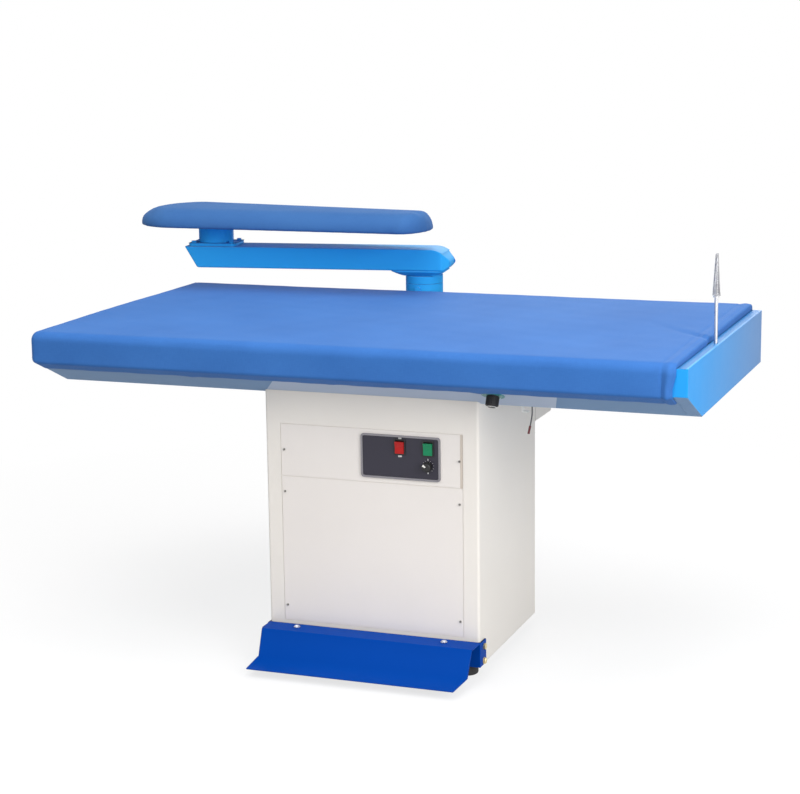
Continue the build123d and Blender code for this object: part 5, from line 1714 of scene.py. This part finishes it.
heat_knob_frame = standing(heat_knob_place, (0.0, -math.sin(slope_drop), -math.cos(slope_drop)))
pointer_level = dial_thickness + knob_lift + heat_knob_height - pointer_sink
line = pointer_mesh(heat_pointer_inner, heat_pointer_outer, heat_pointer_half, pointer_level)
# Painted highlight: the white ring on the thermostat knob's end stands for the pale rim that its end shows in
# the light.
ring = ring_mesh(heat_highlight_inner, heat_highlight_outer, pointer_level)
pointer = joined("heat_pointer", [line, ring], heat_knob_frame)
on_dial = heat_knob_frame @ Matrix.Translation((0, 0, (dial_thickness + knob_lift) * mm))
sizes = {"Radius": heat_knob_radius * mm, "Height": heat_knob_height * mm, "Ribs": heat_knob_ribs}
sizes["Rib_depth"] = heat_rib_depth * mm
add_knob("thermostat_knob", "thermostat_knob", "heat_setting", on_dial, pointer, **sizes)
print("two knobs with pointers")

# %% [markdown]
# The printed marks are generic: ON and OFF at the main switch, and plain numbers round the
# two knobs. They are thin raised meshes, because no picture is used for a surface.

# %% Printed marks
plate_face = -217.6
red_switch = (70.8, 509.8)
on_size, on_rise = 4.6, 19.4
off_size, off_drop = 5.0, 21.5
fan_marks_radius, fan_marks_length = 13.0, 1.4
fan_numbers_radius, fan_numbers_size = 15.4, 4.4
heat_marks_radius, heat_marks = 17.6, 13
heat_numbers_radius, heat_numbers_size = 21.8, 4.5
heat_start, heat_sweep = math.radians(-60), math.radians(300)
dial_print_lift = 0.05


def ring_of_numbers(numbers, radius, start, sweep, size):
    meshes = []
    for index, number in enumerate(numbers):
        angle = start + sweep * index / (len(numbers) - 1)
        word = word_mesh(str(number), size)
        meshes.append(shifted(word, radius * math.cos(angle), radius * math.sin(angle)))
    return meshes


def add_print(name, mesh):
    add_piece(name, mesh, "base", "white_plastic", material=materials["print_white"])


def make_plate_marks():
    words = [shifted(word_mesh("ON", on_size), 0, on_rise), shifted(word_mesh("OFF", off_size), 0, -off_drop)]
    switch_face = standing((red_switch[0], plate_face, red_switch[1]), to_the_front)
    switch_marks = joined("switch_words", words, switch_face)
    ring = grow(dial_marks, "print_white", Radius=fan_marks_radius * mm, Length=fan_marks_length * mm)
    numbers = ring_of_numbers((5, 0), fan_numbers_radius, math.pi / 2, math.pi, fan_numbers_size)
    knob_face = standing((fan_knob_place[0], plate_face, fan_knob_place[2]), to_the_front)
    knob_marks = joined("knob_words", [ring] + numbers, knob_face)
    add_print("control_plate_print", joined("control_plate_print", [switch_marks, knob_marks], Matrix()))


def make_dial_print():
    sizes = {"Radius": heat_marks_radius * mm, "Start": heat_start, "Sweep": heat_sweep, "Marks": heat_marks}
    ring = grow(dial_marks, "print_white", **sizes)
    last = heat_start + heat_sweep
    numbers = ring_of_numbers((1, 2, 3, 4, 5), heat_numbers_radius, last, -heat_sweep, heat_numbers_size)
    face = heat_knob_frame @ Matrix.Translation((0, 0, (dial_thickness + dial_print_lift) * mm))
    add_print("dial_print", joined("dial_print", [ring] + numbers, face))


make_plate_marks()
make_dial_print()
print("plate and dial marked")

# %% [markdown]
# The cover is sewn: the right hem is a casing with one line of stitches, and the left end
# panel is set in with another. A run of stitches follows a line drawn on the cloth. The
# tree spaces small rounded stitches along it and turns each one along the line.

# %% Geometry tree: stitches
thread_lift = 0.0002
end_stitch_gap = 6.0
seam_skip = 2


def make_stitch_run():
    tree, given, out = geometry_tree("stitch_run", Pitch=0.0045, Length=0.0032, Thickness=0.0007)
    line = add(tree, "GeometryNodeMeshToCurve", Mesh=given["Geometry"])
    even = add(tree, "GeometryNodeResampleCurve", {"mode": "LENGTH"}, Curve=line, Length=given["Pitch"])
    turn = along_x(tree, add(tree, "GeometryNodeInputTangent"))
    thread = add(tree, "GeometryNodeMeshUVSphere", Segments=6, Rings=4, Radius=0.5)
    size = combined(tree, given["Length"], given["Thickness"], given["Thickness"])
    return close_tree(tree, given, out, spread(tree, even, thread, turn, Scale=size))


def seam_line(x):
    """Places on the finished cover along one station, a thread's width above the cloth."""
    cover = bpy.data.objects["table_cover_cloth"].data
    count = len(cover_points)
    stations = cover_stations()
    first = count * min(range(len(stations)), key=lambda i: abs(stations[i][0] - x))
    chosen = [cover.vertices[first + index] for index in range(seam_skip, count - seam_skip)]
    return [v.co + v.normal * thread_lift for v in chosen]


def make_stitches():
    points, edges = [], []
    for x in (casing_seam, end_seam + end_stitch_gap):
        line = seam_line(x)
        edges += [(len(points) + i, len(points) + i + 1) for i in range(len(line) - 1)]
        points += line
    base = bpy.data.meshes.new("seam_lines")
    base.from_pydata([tuple(p) for p in points], edges, [])
    mesh = grow(make_stitch_run(), "cloth_thread", base)
    add_piece("cover_stitches", mesh, "base", "cover_cloth", material=materials["cloth_thread"])
    return len(mesh.polygons)


print("stitches", make_stitches(), "faces")

# %% [markdown]
# Floor and light: a pale floor that carries the shadow, one broad soft lamp above, fills
# from the right and the front, a low lamp behind that gives the cover its sheen, and an
# even world. The background is white because camera rays see white, not because more
# light is used. Lamps are listed as place, aim, size and power.

# %% Floor, lamps and world
floor_half = 9.0
floor_roughness = 0.9
floor_grey = (0.45, 0.45, 0.45)
floor_white = (0.95, 0.95, 0.95)
floor_near, floor_far, floor_near_glow = 0.9, 2.2, 0.74
pure_white = (1.0, 1.0, 1.0, 1.0)
world_colour, world_strength = (1.0, 0.985, 0.97, 1.0), 0.36
lamps = {
    "top_softbox": ((0.3, -0.6, 3.6), (0.0, 0.0, 0.7), 3.2, 99),
    "right_fill": ((2.7, -1.9, 1.5), (0.4, 0.0, 0.5), 1.8, 68),
    "front_fill": ((-0.8, -3.4, 2.9), (0.0, 0.0, 0.4), 2.2, 42),
    "back_glow": ((-0.2, 2.9, 1.25), (0.5, 0.3, 0.75), 1.4, 20),
}


def seen_directly(tree):
    """1 for rays from the camera, or off gloss or through glass."""
    path = tree.nodes.new("ShaderNodeLightPath").outputs
    share = math_node(tree, "MAXIMUM", path["Is Camera Ray"], path["Is Glossy Ray"])
    return math_node(tree, "MAXIMUM", share, path["Is Transmission Ray"])


def make_floor():
    corners = [(x, y, 0.0) for x, y in ((-1, -1), (1, -1), (1, 1), (-1, 1))]
    mesh = mesh_from("studio_floor", [Vector(c) * floor_half for c in corners], [(0, 1, 2, 3)], False)
    material = bpy.data.materials.new("studio_floor")
    material.use_nodes = True
    tree = material.node_tree
    shader = tree.nodes["Principled BSDF"]
    seen = seen_directly(tree)
    tone = blend_colour(tree, seen, rgba(floor_grey), rgba(floor_white))
    feed(tree, shader, Base_Color=tone, Roughness=floor_roughness)
    glow = add(tree, "ShaderNodeEmission", Color=pure_white, Strength=1.0)
    away = share_of(tree, vector_node(tree, "LENGTH", "Value", _0=own_place(tree)), floor_near, floor_far)
    share = times(tree, seen, between(tree, away, floor_near_glow, 1.0))
    mixed = add(tree, "ShaderNodeMixShader", _0=share, _1=shader.outputs[0], _2=glow)
    feed(tree, tree.nodes["Material Output"], Surface=mixed)
    mesh.materials.append(material)
    into_scene("studio_floor", mesh)


def add_lamp(name, place, aim, size, power):
    data = bpy.data.lights.new(name, "AREA")
    data.shape = "SQUARE"
    data.size = size
    data.energy = power
    lamp = into_scene(name, data)
    lamp.location = place
    lamp.rotation_euler = (Vector(aim) - Vector(place)).to_track_quat("-Z", "Y").to_euler()


def make_world():
    world = bpy.data.worlds.new("studio")
    bpy.context.scene.world = world
    world.use_nodes = True
    tree = world.node_tree
    light = tree.nodes["Background"]
    feed(tree, light, Color=world_colour, Strength=world_strength)
    white = add(tree, "ShaderNodeBackground", Color=pure_white, Strength=1.0)
    mixed = add(tree, "ShaderNodeMixShader", _0=seen_directly(tree), _1=light.outputs[0], _2=white)
    feed(tree, tree.nodes["World Output"], Surface=mixed)


make_floor()
make_world()
for name, row in lamps.items():
    add_lamp(name, *row)
bpy.context.scene.view_settings.view_transform = "Standard"
print("floor, world and", len(lamps), "lamps")
